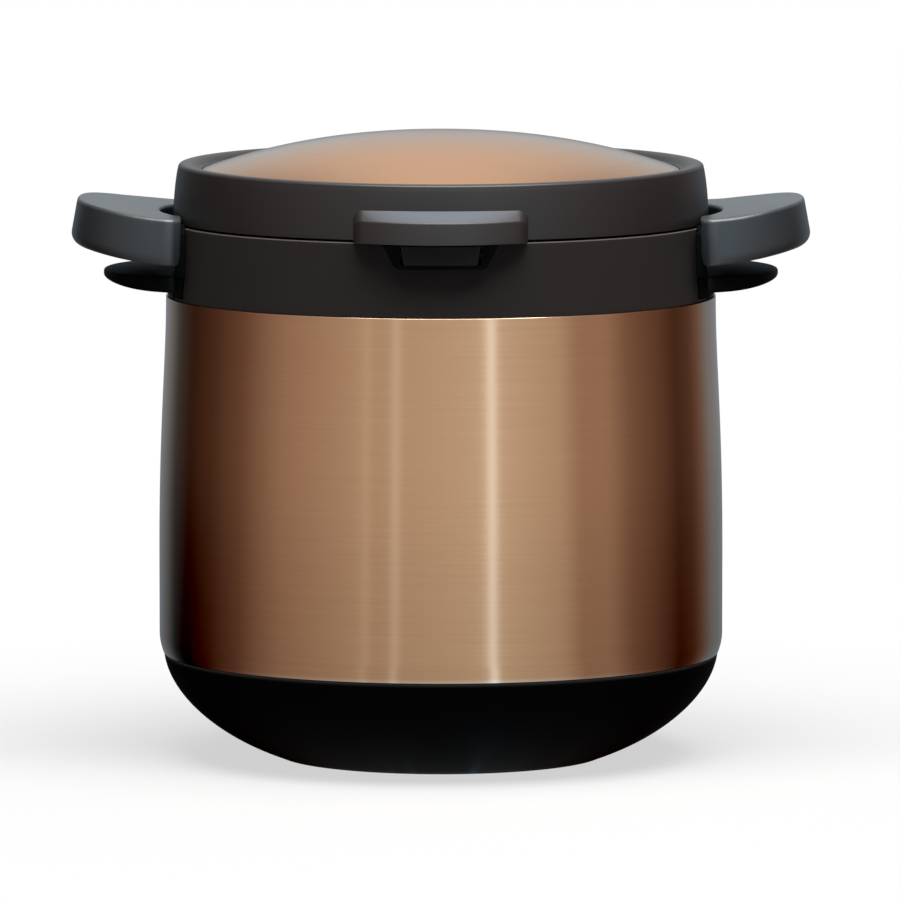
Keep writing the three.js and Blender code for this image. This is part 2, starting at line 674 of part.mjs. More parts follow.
function grip(name, group) {
  const layers = roundedEdges(-GRIP_THICKNESS, 0, GRIP_LOW_ROUND, GRIP_TOP_ROUND, 2, 1);
  const ear = layered(gripOutline(), layers)
    .rotateY(-GRIP_TILT)
    .translate(gripRoot, 0, gripTopZ);
  const feet = [-footY, footY].map((y) =>
    solid(
      block(
        [recessX + FIT, y - FOOT_HALF_WIDTH, footLowZ],
        [gripRoot + GRIP_CORNER, y + FOOT_HALF_WIDTH, footHighZ],
      ),
    ),
  );
  const holes = sideScrews
    .filter(({ kind }) => kind === "grip")
    .map(({ kind, position }) => screwHole(kind, position, towards.out));
  group.add(piece(name, cut(join(solid(ear), ...feet), ...holes), gripPlastic));
}

// A guard: a D-shaped plate with a flat top, whose underside slopes up to a thin tip.
function guard(name, group) {
  const reach = GUARD_LENGTH + GUARD_BULGE;
  const startTurn = Math.acos(GUARD_BULGE / reach);
  const steps = 20;
  const outline = [];
  for (let k = 0; k <= steps; k++) {
    const turn = startTurn * ((2 * k) / steps - 1);
    outline.push(at(guardReach - reach * (1 - Math.cos(turn)), GUARD_HALF_LENGTH * Math.sin(turn)));
  }
  const low = guardTopZ - GUARD_ROOT;
  const plate = layered(outline, roundedEdges(low, guardTopZ, GUARD_TOP_ROUND, GUARD_TOP_ROUND, 1, 2));
  const under = alongX(
    [
      at(guardRoot, low - OVERRUN),
      at(guardReach + OVERRUN, low - OVERRUN),
      at(guardReach + OVERRUN, guardTopZ - GUARD_EDGE + GUARD_TOP_ROUND),
      at(guardReach, guardTopZ - GUARD_EDGE),
      at(guardRoot, low),
    ],
    GUARD_HALF_LENGTH + OVERRUN,
  ).rotateZ(-Math.PI / 2);
  const tongue = block(
    [recessX + FIT, -guardTongueHalf, recessFloorZ + FIT],
    [guardRoot + GUARD_TOP_ROUND, guardTongueHalf, guardTopZ - GUARD_TOP_ROUND],
  );
  const holes = sideScrews
    .filter(({ kind }) => kind === "guard")
    .map(({ kind, position }) => screwHole(kind, position, towards.out));
  const body = join(cut(solid(plate), solid(under)), solid(tongue));
  group.add(piece(name, cut(body, ...holes), glossPlastic));
}

function handles(group) {
  for (const [side, sign] of Object.entries(sides)) {
    const half = new THREE.Group();
    half.rotation.z = sign > 0 ? 0 : Math.PI;
    grip("grip_" + side, half);
    guard("guard_" + side, half);
    for (const { kind, position } of sideScrews) {
      const end = sign * position[1] > 0 ? "rear" : "front";
      screw(kind + "_screw_" + side + "_" + end, kind, half, position, towards.out);
    }
    group.add(half);
  }
}

// The button's outline seen from the front.
function buttonOutline() {
  const x = BUTTON_HALF_WIDTH;
  const c = BUTTON_CORNER;
  return [
    at(x - c, buttonFootZ),
    at(x, buttonFootZ + c),
    at(x, buttonTopZ - c),
    at(x - c, buttonTopZ),
    at(c - x, buttonTopZ),
    at(-x, buttonTopZ - c),
    at(-x, buttonFootZ + c),
    at(c - x, buttonFootZ),
  ];
}

// A coil spring along Y, as one unbroken tube between two places.
function spring(name, x, front, back, group) {
  const pitch = (back - front - 2 * SPRING_WIRE) / SPRING_TURNS;
  const stepsPerTurn = 6;
  const count = SPRING_TURNS * stepsPerTurn;
  const coil = SPRING_RADIUS - SPRING_WIRE;
  const points = Array.from({ length: count + 1 }, (_, k) => {
    const turn = (k / stepsPerTurn) * 2 * Math.PI;
    return new THREE.Vector3(
      x + coil * Math.cos(turn),
      front + SPRING_WIRE + (k / stepsPerTurn) * pitch,
      buttonMiddleZ + coil * Math.sin(turn),
    );
  });
  const sideCount = 4;
  const section = Array.from({ length: sideCount }, (_, k) => {
    const turn = (k / sideCount) * 2 * Math.PI;
    return at(SPRING_WIRE * Math.cos(turn), SPRING_WIRE * Math.sin(turn));
  });
  const options = { extrudePath: new THREE.CatmullRomCurve3(points), steps: count };
  const tube = new THREE.ExtrudeGeometry(new THREE.Shape(section), options);
  group.add(piece(name, solid(tube), plainSteel));
}

function latch(bodyGroup, buttonGroup) {
  const cavity = block(
    [-BUTTON_HALF_WIDTH - FIT, -bodyRadius - OVERRUN, buttonFootZ - FIT],
    [BUTTON_HALF_WIDTH + FIT, cavityBackY, collarTopZ + OVERRUN],
  );
  const tongueFront = -buttonReach + TONGUE_SETBACK;
  const tongueBack = tongueFront + TONGUE_LENGTH;
  const tongueX = BUTTON_HALF_WIDTH + TONGUE_REACH;
  const tongueHalf = TONGUE_HEIGHT / 2;
  const groove = block(
    [-tongueX - FIT, tongueFront - FIT, buttonMiddleZ - tongueHalf - FIT],
    [tongueX + FIT, tongueBack + BUTTON_TRAVEL + FIT, buttonMiddleZ + tongueHalf + FIT],
  );
  const housing = solid(alongY(housingOutline(0, 0), -bodyRadius - OVERRUN, housingBackY)).intersect(
    solid(drum(housingReach, seamZ, collarTopZ)),
  );
  const holes = Object.values(sides).map((side) =>
    screwHole("housing", housingScrewAt(side), towards.front),
  );
  const shaped = cut(housing, solid(cavity), solid(groove), ...holes);
  bodyGroup.add(piece("latch_housing", shaped, blackPlastic));

  const face = solid(alongY(buttonOutline(), -buttonReach - OVERRUN, barBackY)).intersect(
    solid(drum(buttonReach, seamZ, collarTopZ)),
  );
  const tongues = solid(
    block(
      [-tongueX, tongueFront, buttonMiddleZ - tongueHalf],
      [tongueX, tongueBack, buttonMiddleZ + tongueHalf],
    ),
  );
  const windowHalf = BUTTON_HALF_WIDTH - BUTTON_RAIL;
  const window = block(
    [-windowHalf, frontWallY, buttonFootZ - OVERRUN],
    [windowHalf, barFrontY, collarTopZ + OVERRUN],
  );
  const underBar = block(
    [-windowHalf, frontWallY, buttonFootZ - OVERRUN],
    [windowHalf, barBackY + OVERRUN, barLowZ],
  );
  const boreRadius = SPRING_RADIUS + SPRING_SLACK;
  const boreFront = frontWallY + FIT;
  const bores = Object.values(sides).map((side) =>
    solid(rodY(boreRadius, boreFront, barBackY + OVERRUN, side * railMiddleX, buttonMiddleZ)),
  );
  const button = cut(join(face, tongues), solid(window), solid(underBar), ...bores);
  buttonGroup.add(piece("release_button", button, blackPlastic));

  for (const [side, sign] of Object.entries(sides)) {
    const name = "button_spring_" + side;
    spring(name, sign * railMiddleX, boreFront + FIT, cavityBackY - FIT, bodyGroup);
    screw("housing_screw_" + side, "housing", bodyGroup, housingScrewAt(sign), towards.front);
  }
}

function hinge(bodyGroup, lidGroup) {
  const knuckleIn = LEAF_HALF_WIDTH + FIT;
  const bore = (from, to) => solid(rodX(PIN_RADIUS + RUNNING, from, to, hingeReach, hingeZ));
  const plate = cut(
    solid(
      block(
        [-BRACKET_HALF_WIDTH, 0, collarTopZ - BRACKET_FOOT_DROP],
        [BRACKET_HALF_WIDTH, bracketBackY, collarTopZ - BRACKET_TOP_DROP],
      ),
    ),
    solid(collarDrum(FIT)),
  );
  const arms = Object.values(sides).flatMap((side) => {
    const [from, to] = side > 0 ? [knuckleIn, BRACKET_HALF_WIDTH] : [-BRACKET_HALF_WIDTH, -knuckleIn];
    const web = block(
      [from, bracketBackY - WEB_THICKNESS, collarTopZ - WEB_FOOT_DROP],
      [to, hingeReach + KNUCKLE_RADIUS / 2, hingeZ],
    );
    return [solid(web), solid(rodX(KNUCKLE_RADIUS, from, to, hingeReach, hingeZ))];
  });
  const clearOfLid = solid(drum(lidRadius + FIT, lidZ - LID_SEAM, crestZ));
  const screws = Object.values(sides).map((side) =>
    screwHole("bracket", bracketScrewAt(side), towards.front),
  );
  const across = BRACKET_HALF_WIDTH + OVERRUN;
  const bracket = cut(join(plate, ...arms), bore(-across, across), clearOfLid, ...screws);
  bodyGroup.add(piece("hinge_bracket", bracket, collarPlastic));

  const arm = block(
    [-LEAF_HALF_WIDTH, 0, lidZ + FIT],
    [LEAF_HALF_WIDTH, hingeReach, lidZ + FIT + LEAF_ARM_HEIGHT],
  );
  const upright = block(
    [-LEAF_HALF_WIDTH, 0, lidZ + FIT],
    [LEAF_HALF_WIDTH, leafBackY, lidZ + LEAF_HEIGHT],
  );
  const knuckle = rodX(KNUCKLE_RADIUS, -LEAF_HALF_WIDTH, LEAF_HALF_WIDTH, hingeReach, hingeZ);
  const leafScrews = Object.values(sides).map((side) =>
    screwHole("leaf", leafScrewAt(side), towards.front),
  );
  const ringSide = solid(drum(lidRadius + FIT, lidZ - OVERRUN, crestZ));
  const whole = join(solid(arm), solid(upright), solid(knuckle));
  const leaf = cut(whole, ringSide, bore(-across, across), ...leafScrews);
  lidGroup.add(piece("hinge_leaf", leaf, lidPlastic));

  const headX = BRACKET_HALF_WIDTH + FIT;
  const pin = join(
    solid(rodX(PIN_RADIUS, -headX, headX, hingeReach, hingeZ)),
    solid(rodX(PIN_HEAD_RADIUS, headX, headX + PIN_HEAD, hingeReach, hingeZ)),
    solid(rodX(PIN_HEAD_RADIUS, -headX - PIN_HEAD, -headX, hingeReach, hingeZ)),
  );
  bodyGroup.add(piece("hinge_pin", pin, plainSteel));
  for (const [side, sign] of Object.entries(sides)) {
    screw("bracket_screw_" + side, "bracket", bodyGroup, bracketScrewAt(sign), towards.front);
    screw("leaf_screw_" + side, "leaf", lidGroup, leafScrewAt(sign), towards.front);
  }
}

// Lid ring, dome, pan, insulation and gasket
const RING_WALL = 3;
const RING_LEDGE = 4; // how far the dome's seat reaches inwards
const RING_WEB = 3; // thickness under the seat
const CREST_DRAW = 5.4; // of the crest inside the ring's lower edge
const CREST_STAND = 4.8; // of the crest above the dome's edge
const CREST_DIP = 2.6; // how far the crest drops towards the front
const DOME_WALL = 1;
const BOSS_RADIUS = 4;
const BOSS_SETBACK = 5.4; // of each boss inside the ring's wall
const PAN_FLANGE = 1.6;
const PAN_LIFT = 2; // of the flange's underside above the ring's lower edge
const PAN_DEPTH = 13.4; // of its floor below the ring's lower edge
const PAN_WALL = 1.6;
const PLUG_GAP = 4.5; // between the plug and the liner
const PAN_CORNER = 4;
const GASKET_GAP = 0.8; // between the sealing lips and the liner
const GASKET_WALL = 1.4;
const GASKET_LIP = 0.7; // thickness of a sealing lip
const ringDrawShares = { low: 0.0016, middle: 0.0089, high: 0.0178 };
const ringRiseShares = { low: 0.42, middle: 0.68, high: 0.88 };
const gasketShares = { lowLip: 0.2, highLip: 0.62 };

const domeEdgeZ = crestZ - CREST_STAND;
const domeTopZ = domeEdgeZ + DOME_RISE;
const crestRadius = lidRadius - CREST_DRAW;
const bossReach = lidRadius - RING_WALL - BOSS_SETBACK;
const plugRadius = MOUTH_RADIUS - PLUG_GAP;
const gasketReach = MOUTH_RADIUS - GASKET_GAP;
const domeSphere = (domeRadius ** 2 + DOME_RISE ** 2) / (2 * DOME_RISE);
const flangeLowZ = lidZ + PAN_LIFT;
const panFloorZ = lidZ - PAN_DEPTH;
const ledgeZ = domeEdgeZ - DOME_WALL - FIT;
const webZ = ledgeZ - RING_WEB;
const bossAngles = [45, 135, 225, 315].map(THREE.MathUtils.degToRad);

// The dome's sphere, drawn in by a wall, from a radius in to the axis.
function domeCurve(wall, from, steps) {
  const sphere = domeSphere - wall;
  const centreZ = domeTopZ - domeSphere;
  return Array.from({ length: steps + 1 }, (_, k) => {
    const r = from * (1 - k / steps);
    return at(r, centreZ + Math.sqrt(sphere ** 2 - r ** 2));
  });
}

// The crest drops towards the front: what stands above the dome's edge is lowered there.
function dipped(geometry) {
  const place = geometry.attributes.position;
  for (let i = 0; i < place.count; i++) {
    const above = Math.max(0, place.getZ(i) - domeEdgeZ) / (crestZ - domeEdgeZ);
    const facing = Math.max(0, -place.getY(i) / Math.hypot(place.getX(i), place.getY(i)));
    place.setZ(i, place.getZ(i) - CREST_DIP * above * facing * facing);
  }
  return geometry;
}

// Lift tab and catch hook, on the lid's front
const TAB_COVER = 4; // how far it reaches past the button
const TAB_HALF_WIDTH = 39.5;
const TAB_BOW = 15; // how far its front draws back from the middle to its ends
const TAB_CORNER = 4;
const TAB_LIFT = 0.5; // of its underside above the ring's lower edge, at the ring
const TAB_DROP = 0.9; // of its underside below the ring's lower edge, at the front
const TAB_FRONT_RISE = 9.3; // of its top above the ring's lower edge, at the front
const TAB_BACK_RISE = 13.6; // and at the ring
const TAB_SCREW_X = 25;
const TAB_SCREW_RISE = 6.6;
const HOOK_HALF_WIDTH = 8;
const HOOK_PLATE = 2;
const HOOK_PLATE_LENGTH = 5; // in front of the stem
const HOOK_STEM = 2.4;
const HOOK_NOSE_LENGTH = 4.2; // behind the stem
const HOOK_NOSE_HEIGHT = 2.4;
const HOOK_NOSE_EDGE = 0.8;
const HOOK_NOSE_GAP = 0.4; // between the nose and the button's bar
const HOOK_SCREW_LEAD = 2.5; // of the hook's screw, in front of the stem

const tabReach = buttonReach + TAB_COVER;
const tabBackRadius = lidRadius + FIT;
const tabFootZ = lidZ + TAB_LIFT;
const noseTipY = barFrontY - HOOK_NOSE_GAP;
const stemBackY = noseTipY - HOOK_NOSE_LENGTH;
const stemFrontY = stemBackY - HOOK_STEM;
const hookPlateY = stemFrontY - HOOK_PLATE_LENGTH;
const tabScrewY = -Math.sqrt(
  (lidRadius - RING_WALL) ** 2 - (TAB_SCREW_X - screwSizes.tab.headRadius) ** 2,
);
const tabScrewAt = (side) => [side * TAB_SCREW_X, tabScrewY, lidZ + TAB_SCREW_RISE];
const hookScrewAt = [0, stemFrontY - HOOK_SCREW_LEAD, tabFootZ];
const panScrewAt = (angle) => [bossReach * Math.cos(angle), bossReach * Math.sin(angle), flangeLowZ];
const panScrewNames = ["right_rear", "left_rear", "left_front", "right_front"];

function lidRing() {
  const draw = (share) => lidRadius * (1 - share);
  const rise = (share) => lidZ + (crestZ - lidZ) * share;
  const inner = lidRadius - RING_WALL;
  const seat = domeRadius + FIT;
  const profile = [
    at(inner, lidZ),
    at(lidRadius, lidZ),
    at(draw(ringDrawShares.low), rise(ringRiseShares.low)),
    at(draw(ringDrawShares.middle), rise(ringRiseShares.middle)),
    at(draw(ringDrawShares.high), rise(ringRiseShares.high)),
    ...rounded(
      at(draw(ringDrawShares.high), rise(ringRiseShares.high)),
      at(draw(ringDrawShares.high), crestZ),
      at(crestRadius, crestZ),
      3,
    ),
    ...rounded(at(crestRadius, crestZ), at(crestRadius - RING_WALL, crestZ), at(seat, domeEdgeZ), 3),
    at(seat, ledgeZ),
    at(domeRadius - RING_LEDGE, ledgeZ),
    at(domeRadius - RING_LEDGE, webZ),
    at(inner, webZ),
  ];
  const body = solid(dipped(turned(profile)));
  const boss = drum(BOSS_RADIUS, flangeLowZ + PAN_FLANGE, webZ + RING_WEB / 2, SCREW_ROUND);
  const bosses = bossAngles.map((angle) => {
    const [x, y] = panScrewAt(angle);
    return solid(boss.clone().translate(x, y, 0));
  });
  const leafBoss = solid(
    block(
      [-LEAF_BOSS_HALF_WIDTH, inner - LEAF_BOSS_DEPTH, leafScrewZ - LEAF_BOSS_DEPTH],
      [LEAF_BOSS_HALF_WIDTH, inner, leafScrewZ + LEAF_BOSS_DEPTH],
    ),
  );
  const holes = [
    ...bossAngles.map((angle) => screwHole("pan", panScrewAt(angle), towards.up)),
    ...Object.values(sides).flatMap((side) => [
      screwHole("leaf", leafScrewAt(side), towards.front),
      screwHole("tab", tabScrewAt(side), towards.front, LEAF_BOSS_DEPTH),
    ]),
  ];
  return cut(join(body, ...bosses, leafBoss), ...holes);
}

function lidPan() {
  const flangeTop = flangeLowZ + PAN_FLANGE;
  const inner = plugRadius - PAN_WALL;
  const floorTop = panFloorZ + PAN_WALL;
  const flangeReach = lidRadius - RING_WALL - FIT;
  const profile = [
    at(0, panFloorZ),
    at(plugRadius - PAN_CORNER, panFloorZ),
    ...rounded(
      at(plugRadius - PAN_CORNER, panFloorZ),
      at(plugRadius, panFloorZ),
      at(plugRadius, panFloorZ + PAN_CORNER),
      2,
    ),
    at(plugRadius, flangeLowZ),
    at(flangeReach, flangeLowZ),
    at(flangeReach, flangeTop),
    at(inner, flangeTop),
    at(inner, floorTop + PAN_CORNER),
    at(inner - PAN_CORNER, floorTop),
    at(0, floorTop),
  ];
  const holes = bossAngles.map((angle) => screwHole("pan", panScrewAt(angle), towards.up));
  return cut(solid(turned(profile)), ...holes);
}

// The gasket hugs the plug, with two lips that reach out to the liner.
function lidGasket() {
  const inner = plugRadius + FIT;
  const wall = inner + GASKET_WALL;
  const low = panFloorZ + PAN_CORNER;
  const high = flangeLowZ - FIT;
  const lip = (share) => {
    const z = low + (high - low) * share;
    return [at(wall, z), at(gasketReach, z + GASKET_LIP), at(wall, z + 2 * GASKET_LIP)];
  };
  return turned([
    at(inner, low),
    at(wall, low),
    ...lip(gasketShares.lowLip),
    ...lip(gasketShares.highLip),
    at(wall, high),
    at(inner, high),
  ]);
}

function lidFoam() {
  const reach = plugRadius - PAN_WALL - FIT;
  const floor = panFloorZ + PAN_WALL;
  const chamfer = PAN_CORNER + FIT;
  return turned([
    at(0, floor),
    at(reach - chamfer, floor),
    at(reach, floor + chamfer),
    ...domeCurve(DOME_WALL + FIT, reach, 4),
  ]);
}

// The tab's front seen from above, from left to right: a shallow bow with rounded ends.
function tabFront() {
  const bow = (TAB_HALF_WIDTH ** 2 + TAB_BOW ** 2) / (2 * TAB_BOW);
  const yAt = (x) => bow - tabReach - Math.sqrt(bow ** 2 - x ** 2);
  const cornerX = TAB_HALF_WIDTH - TAB_CORNER;
  const steps = 14;
  const middle = Array.from({ length: steps + 1 }, (_, k) => {
    const x = cornerX * ((2 * k) / steps - 1);
    return at(x, yAt(x));
  });
  const corner = at(TAB_HALF_WIDTH, yAt(TAB_HALF_WIDTH));
  const end = at(TAB_HALF_WIDTH, -Math.sqrt(tabBackRadius ** 2 - TAB_HALF_WIDTH ** 2));
  const right = rounded(middle[steps], corner, end, 4);
  return [...right.map((p) => at(-p.x, p.y)).reverse(), ...middle.slice(1, -1), ...right];
}

// Each point of the front has one behind it on the ring, and the top and the underside run
// straight from the one to the other.
function liftTab() {
  const front = tabFront();
  const back = front.map(({ x }) => at(x, -Math.sqrt(tabBackRadius ** 2 - x ** 2)));
  const levels = [
    [front, -TAB_DROP],
    [front, TAB_FRONT_RISE],
    [back, TAB_BACK_RISE],
    [back, TAB_LIFT],
  ];
  const rows = levels.map(([line, rise]) => line.map((p) => [p.x, p.y, lidZ + rise]));
  const tab = sweptRows(rows);
  const recess = block(
    [-HOOK_HALF_WIDTH - FIT, hookPlateY - FIT, seamZ],
    [HOOK_HALF_WIDTH + FIT, stemBackY + FIT, tabFootZ + HOOK_PLATE],
  );
  const holes = Object.values(sides).map((side) =>
    screwHole("tab", tabScrewAt(side), towards.front),
  );
  return cut(solid(tab), solid(recess), screwHole("hook", hookScrewAt, towards.up), ...holes);
}

function catchHook() {
  const noseTopZ = barLowZ - FIT;
  const footZ = noseTopZ - HOOK_NOSE_HEIGHT;
  const outline = [
    at(hookPlateY, tabFootZ + HOOK_PLATE),
    at(hookPlateY, tabFootZ),
    at(stemFrontY, tabFootZ),
    at(stemFrontY, footZ),
    at(stemBackY, footZ),
    at(noseTipY, noseTopZ - HOOK_NOSE_EDGE),
    at(noseTipY, noseTopZ),
    at(stemBackY, noseTopZ),
    at(stemBackY, tabFootZ + HOOK_PLATE),
  ];
  return cut(solid(alongX(outline, HOOK_HALF_WIDTH)), screwHole("hook", hookScrewAt, towards.up));
}

function lid(group) {
  const dome = [...domeCurve(0, domeRadius, 5), ...domeCurve(DOME_WALL, domeRadius, 4).reverse()];
  group.add(
    piece("lid_ring", lidRing(), lidPlastic),
    piece("lid_dome", solid(turned(dome)), copperSteel),
    piece("lid_pan", lidPan(), panPlastic),
    piece("lid_gasket", solid(lidGasket()), silicone),
    piece("lid_foam", solid(lidFoam()), foam),
    piece("lift_tab", liftTab(), lidPlastic),
    piece("catch_hook", catchHook(), blackPlastic),
  );
  bossAngles.forEach((angle, i) =>
    screw("lid_screw_" + panScrewNames[i], "pan", group, panScrewAt(angle), towards.up),
  );
  for (const [side, sign] of Object.entries(sides))
    screw("tab_screw_" + side, "tab", group, tabScrewAt(sign), towards.front);
  screw("hook_screw", "hook", group, hookScrewAt, towards.up);
}

// Inner pot, its lid and its bail
const POT_GAP = 9.5; // between the pot and the liner
const HEADROOM = 5.2; // between the knob and the closed lid's pan
const POT_WALL = 0.9;
const POT_CORNER = 14;
const POT_FLANGE = 6.5;
const DISC_DRAW = 16.5; // of the base disc inside the pot's wall
const DISC_THICKNESS = 4;
const POT_LID_LAP = 1.8; // of its lid over the flange
const POT_LID_WALL = 0.8;
const POT_LID_SKIRT = 2.5;
const POT_LID_RISE = 9.5;
const POT_LID_BROW = 2; // how far the lid steps up beside its edge
const POT_LID_BROW_WIDTH = 5;
const KNOB_STEM_RADIUS = 7;
const KNOB_RADIUS = 17;
const KNOB_HEIGHT = 15;
const KNOB_EDGE = 4;
const BAIL_WIRE = 1.8; // radius
const BAIL_RISE = 3.6; // of its wire above the pot's flange
const LUG_THICKNESS = 1.5;
const LUG_HALF_WIDTH = 7;
const LUG_HEIGHT = 9;
const BAIL_END = 0.6; // how far its ends stand inside the lugs, clear of the lid as it lifts

const potRadius = MOUTH_RADIUS - POT_GAP;
const discRadius = potRadius - DISC_DRAW;
const potLidReach = potRadius + POT_LID_LAP;
const potFootZ = linerFloorZ + DISC_THICKNESS;
const potTopZ = panFloorZ - HEADROOM - KNOB_HEIGHT - POT_LID_RISE;
const bailZ = potTopZ + BAIL_RISE;
const lugInner = potLidReach + FIT + BAIL_END;
const lugOuter = lugInner + LUG_THICKNESS;
const bailReach = lugOuter + FIT + BAIL_WIRE;

function pot(group) {
  const inside = potRadius - POT_WALL;
  const floorTop = potFootZ + POT_WALL;
  const cornerZ = potFootZ + POT_CORNER;
  const wall = [
    at(0, potFootZ),
    at(potRadius - POT_CORNER, potFootZ),
    ...rounded(at(potRadius - POT_CORNER, potFootZ), at(potRadius, potFootZ), at(potRadius, cornerZ), 2),
    at(potRadius, potTopZ - POT_WALL),
    at(potRadius + POT_FLANGE, potTopZ - POT_WALL),
    at(potRadius + POT_FLANGE, potTopZ),
    at(inside, potTopZ),
    at(inside, cornerZ),
    ...rounded(at(inside, cornerZ), at(inside, floorTop), at(potRadius - POT_CORNER, floorTop), 2),
    at(0, floorTop),
  ];
  group.add(piece("inner_pot", solid(turned(wall, POT_ROUND)), plainSteel));
  const disc = drum(discRadius, linerFloorZ, potFootZ, POT_ROUND);
  group.add(piece("pot_base_disc", solid(disc), plainSteel));
}

function potLid(group) {
  const plug = potRadius - POT_WALL - FIT;
  const brow = potLidReach - POT_LID_BROW_WIDTH;
  const crown = potTopZ + POT_LID_RISE;
  const crownCurve = (low, high, from) =>
    new THREE.QuadraticBezierCurve(at(from, low), at(from / 2, high), at(KNOB_RADIUS, high)).getPoints(3);
  const profile = [
    at(potLidReach, potTopZ),
    at(potLidReach, potTopZ + POT_LID_WALL),
    ...crownCurve(potTopZ + POT_LID_WALL + POT_LID_BROW, crown, brow),
    at(0, crown),
  ];
  const under = [
    at(0, crown - POT_LID_WALL),
    ...crownCurve(potTopZ + POT_LID_BROW, crown - POT_LID_WALL, brow - POT_LID_WALL).reverse(),
    at(plug - POT_LID_WALL, potTopZ - POT_LID_SKIRT),
    at(plug, potTopZ - POT_LID_SKIRT),
    at(plug, potTopZ),
  ];
  const seat = [0, 0, crown - POT_LID_WALL];
  const hole = screwHole("knob", seat, towards.up);
  const body = solid(turned([...under, ...profile], POT_ROUND));
  group.add(piece("pot_lid", cut(body, hole), plainSteel));

  const knob = solid(
    turned(
      [
        at(0, crown),
        at(KNOB_STEM_RADIUS, crown),
        at(KNOB_STEM_RADIUS, crown + KNOB_EDGE),
        at(KNOB_RADIUS, crown + 2 * KNOB_EDGE),
        at(KNOB_RADIUS, crown + KNOB_HEIGHT - KNOB_EDGE),
        at(KNOB_RADIUS - KNOB_EDGE, crown + KNOB_HEIGHT),
        at(0, crown + KNOB_HEIGHT),
      ],
      SMALL_ROUND,
    ),
  );
  group.add(piece("pot_knob", cut(knob, hole), blackPlastic));
  screw("knob_screw", "knob", group, seat, towards.up);
}

// The bail: a half ring of wire that lies on the front of the pot's rim, with its ends hooked
// inwards through the lugs.
function bail(group) {
  const steps = 24;
  const path = new THREE.CatmullRomCurve3(
    Array.from({ length: steps + 1 }, (_, k) => {
      const turn = Math.PI * (1 + k / steps);
      return new THREE.Vector3(bailReach * Math.cos(turn), bailReach * Math.sin(turn), bailZ);
    }),
  );
  const sideCount = 6;
  const section = Array.from({ length: sideCount }, (_, k) => {
    const turn = (k / sideCount) * 2 * Math.PI;
    return at(BAIL_WIRE * Math.cos(turn), BAIL_WIRE * Math.sin(turn));
  });
  const options = { extrudePath: path, steps };
  const arc = solid(new THREE.ExtrudeGeometry(new THREE.Shape(section), options));
  const ends = Object.values(sides).flatMap((side) => {
    const [from, to] = [lugInner - BAIL_END, bailReach].map((x) => side * x).sort((a, b) => a - b);
    const elbow = new THREE.SphereGeometry(BAIL_WIRE, sideCount, sideCount - 2);
    return [
      solid(rodX(BAIL_WIRE, from, to, 0, bailZ, sideCount)),
      solid(elbow.translate(side * bailReach, 0, bailZ)),
    ];
  });
  group.add(piece("bail", join(arc, ...ends), plainSteel));

  for (const [side, sign] of Object.entries(sides)) {
    const [from, to] = [lugInner, lugOuter].map((x) => sign * x).sort((a, b) => a - b);
    const plate = block([from, -LUG_HALF_WIDTH, potTopZ], [to, LUG_HALF_WIDTH, potTopZ + LUG_HEIGHT]);
    const eye = rodX(BAIL_WIRE + FIT, from - OVERRUN, to + OVERRUN, 0, bailZ, sideCount * 2);
    group.add(piece("bail_lug_" + side, cut(solid(plate), solid(eye)), plainSteel));
  }
}

const cooker = new THREE.Group();
const bodyGroup = new THREE.Group();
const buttonGroup = new THREE.Group();
const lidGroup = new THREE.Group();
const potGroup = new THREE.Group();
cooker.add(bodyGroup, buttonGroup, lidGroup, potGroup);

base(bodyGroup);
vessel(bodyGroup);
collar(bodyGroup);
handles(bodyGroup);
latch(bodyGroup, buttonGroup);
hinge(bodyGroup, lidGroup);
lid(lidGroup);
pot(potGroup);
potLid(potGroup);
bail(potGroup);

export default cooker;
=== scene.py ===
# %% [markdown]
# # A thermal cooker, piece by piece
# A thermal cooker keeps a hot pot cooking without a flame: a steel vacuum jacket holds the heat, a
# hinged lid closes it, and the pot inside lifts out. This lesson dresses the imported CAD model, which
# has every size right but is made of few faces. Each step takes one piece, says what it is on the
# real cooker, and models it finely in the place that the CAD model gives it.

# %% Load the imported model
import json
import math

import bmesh
import bpy
from mathutils import Matrix, Vector

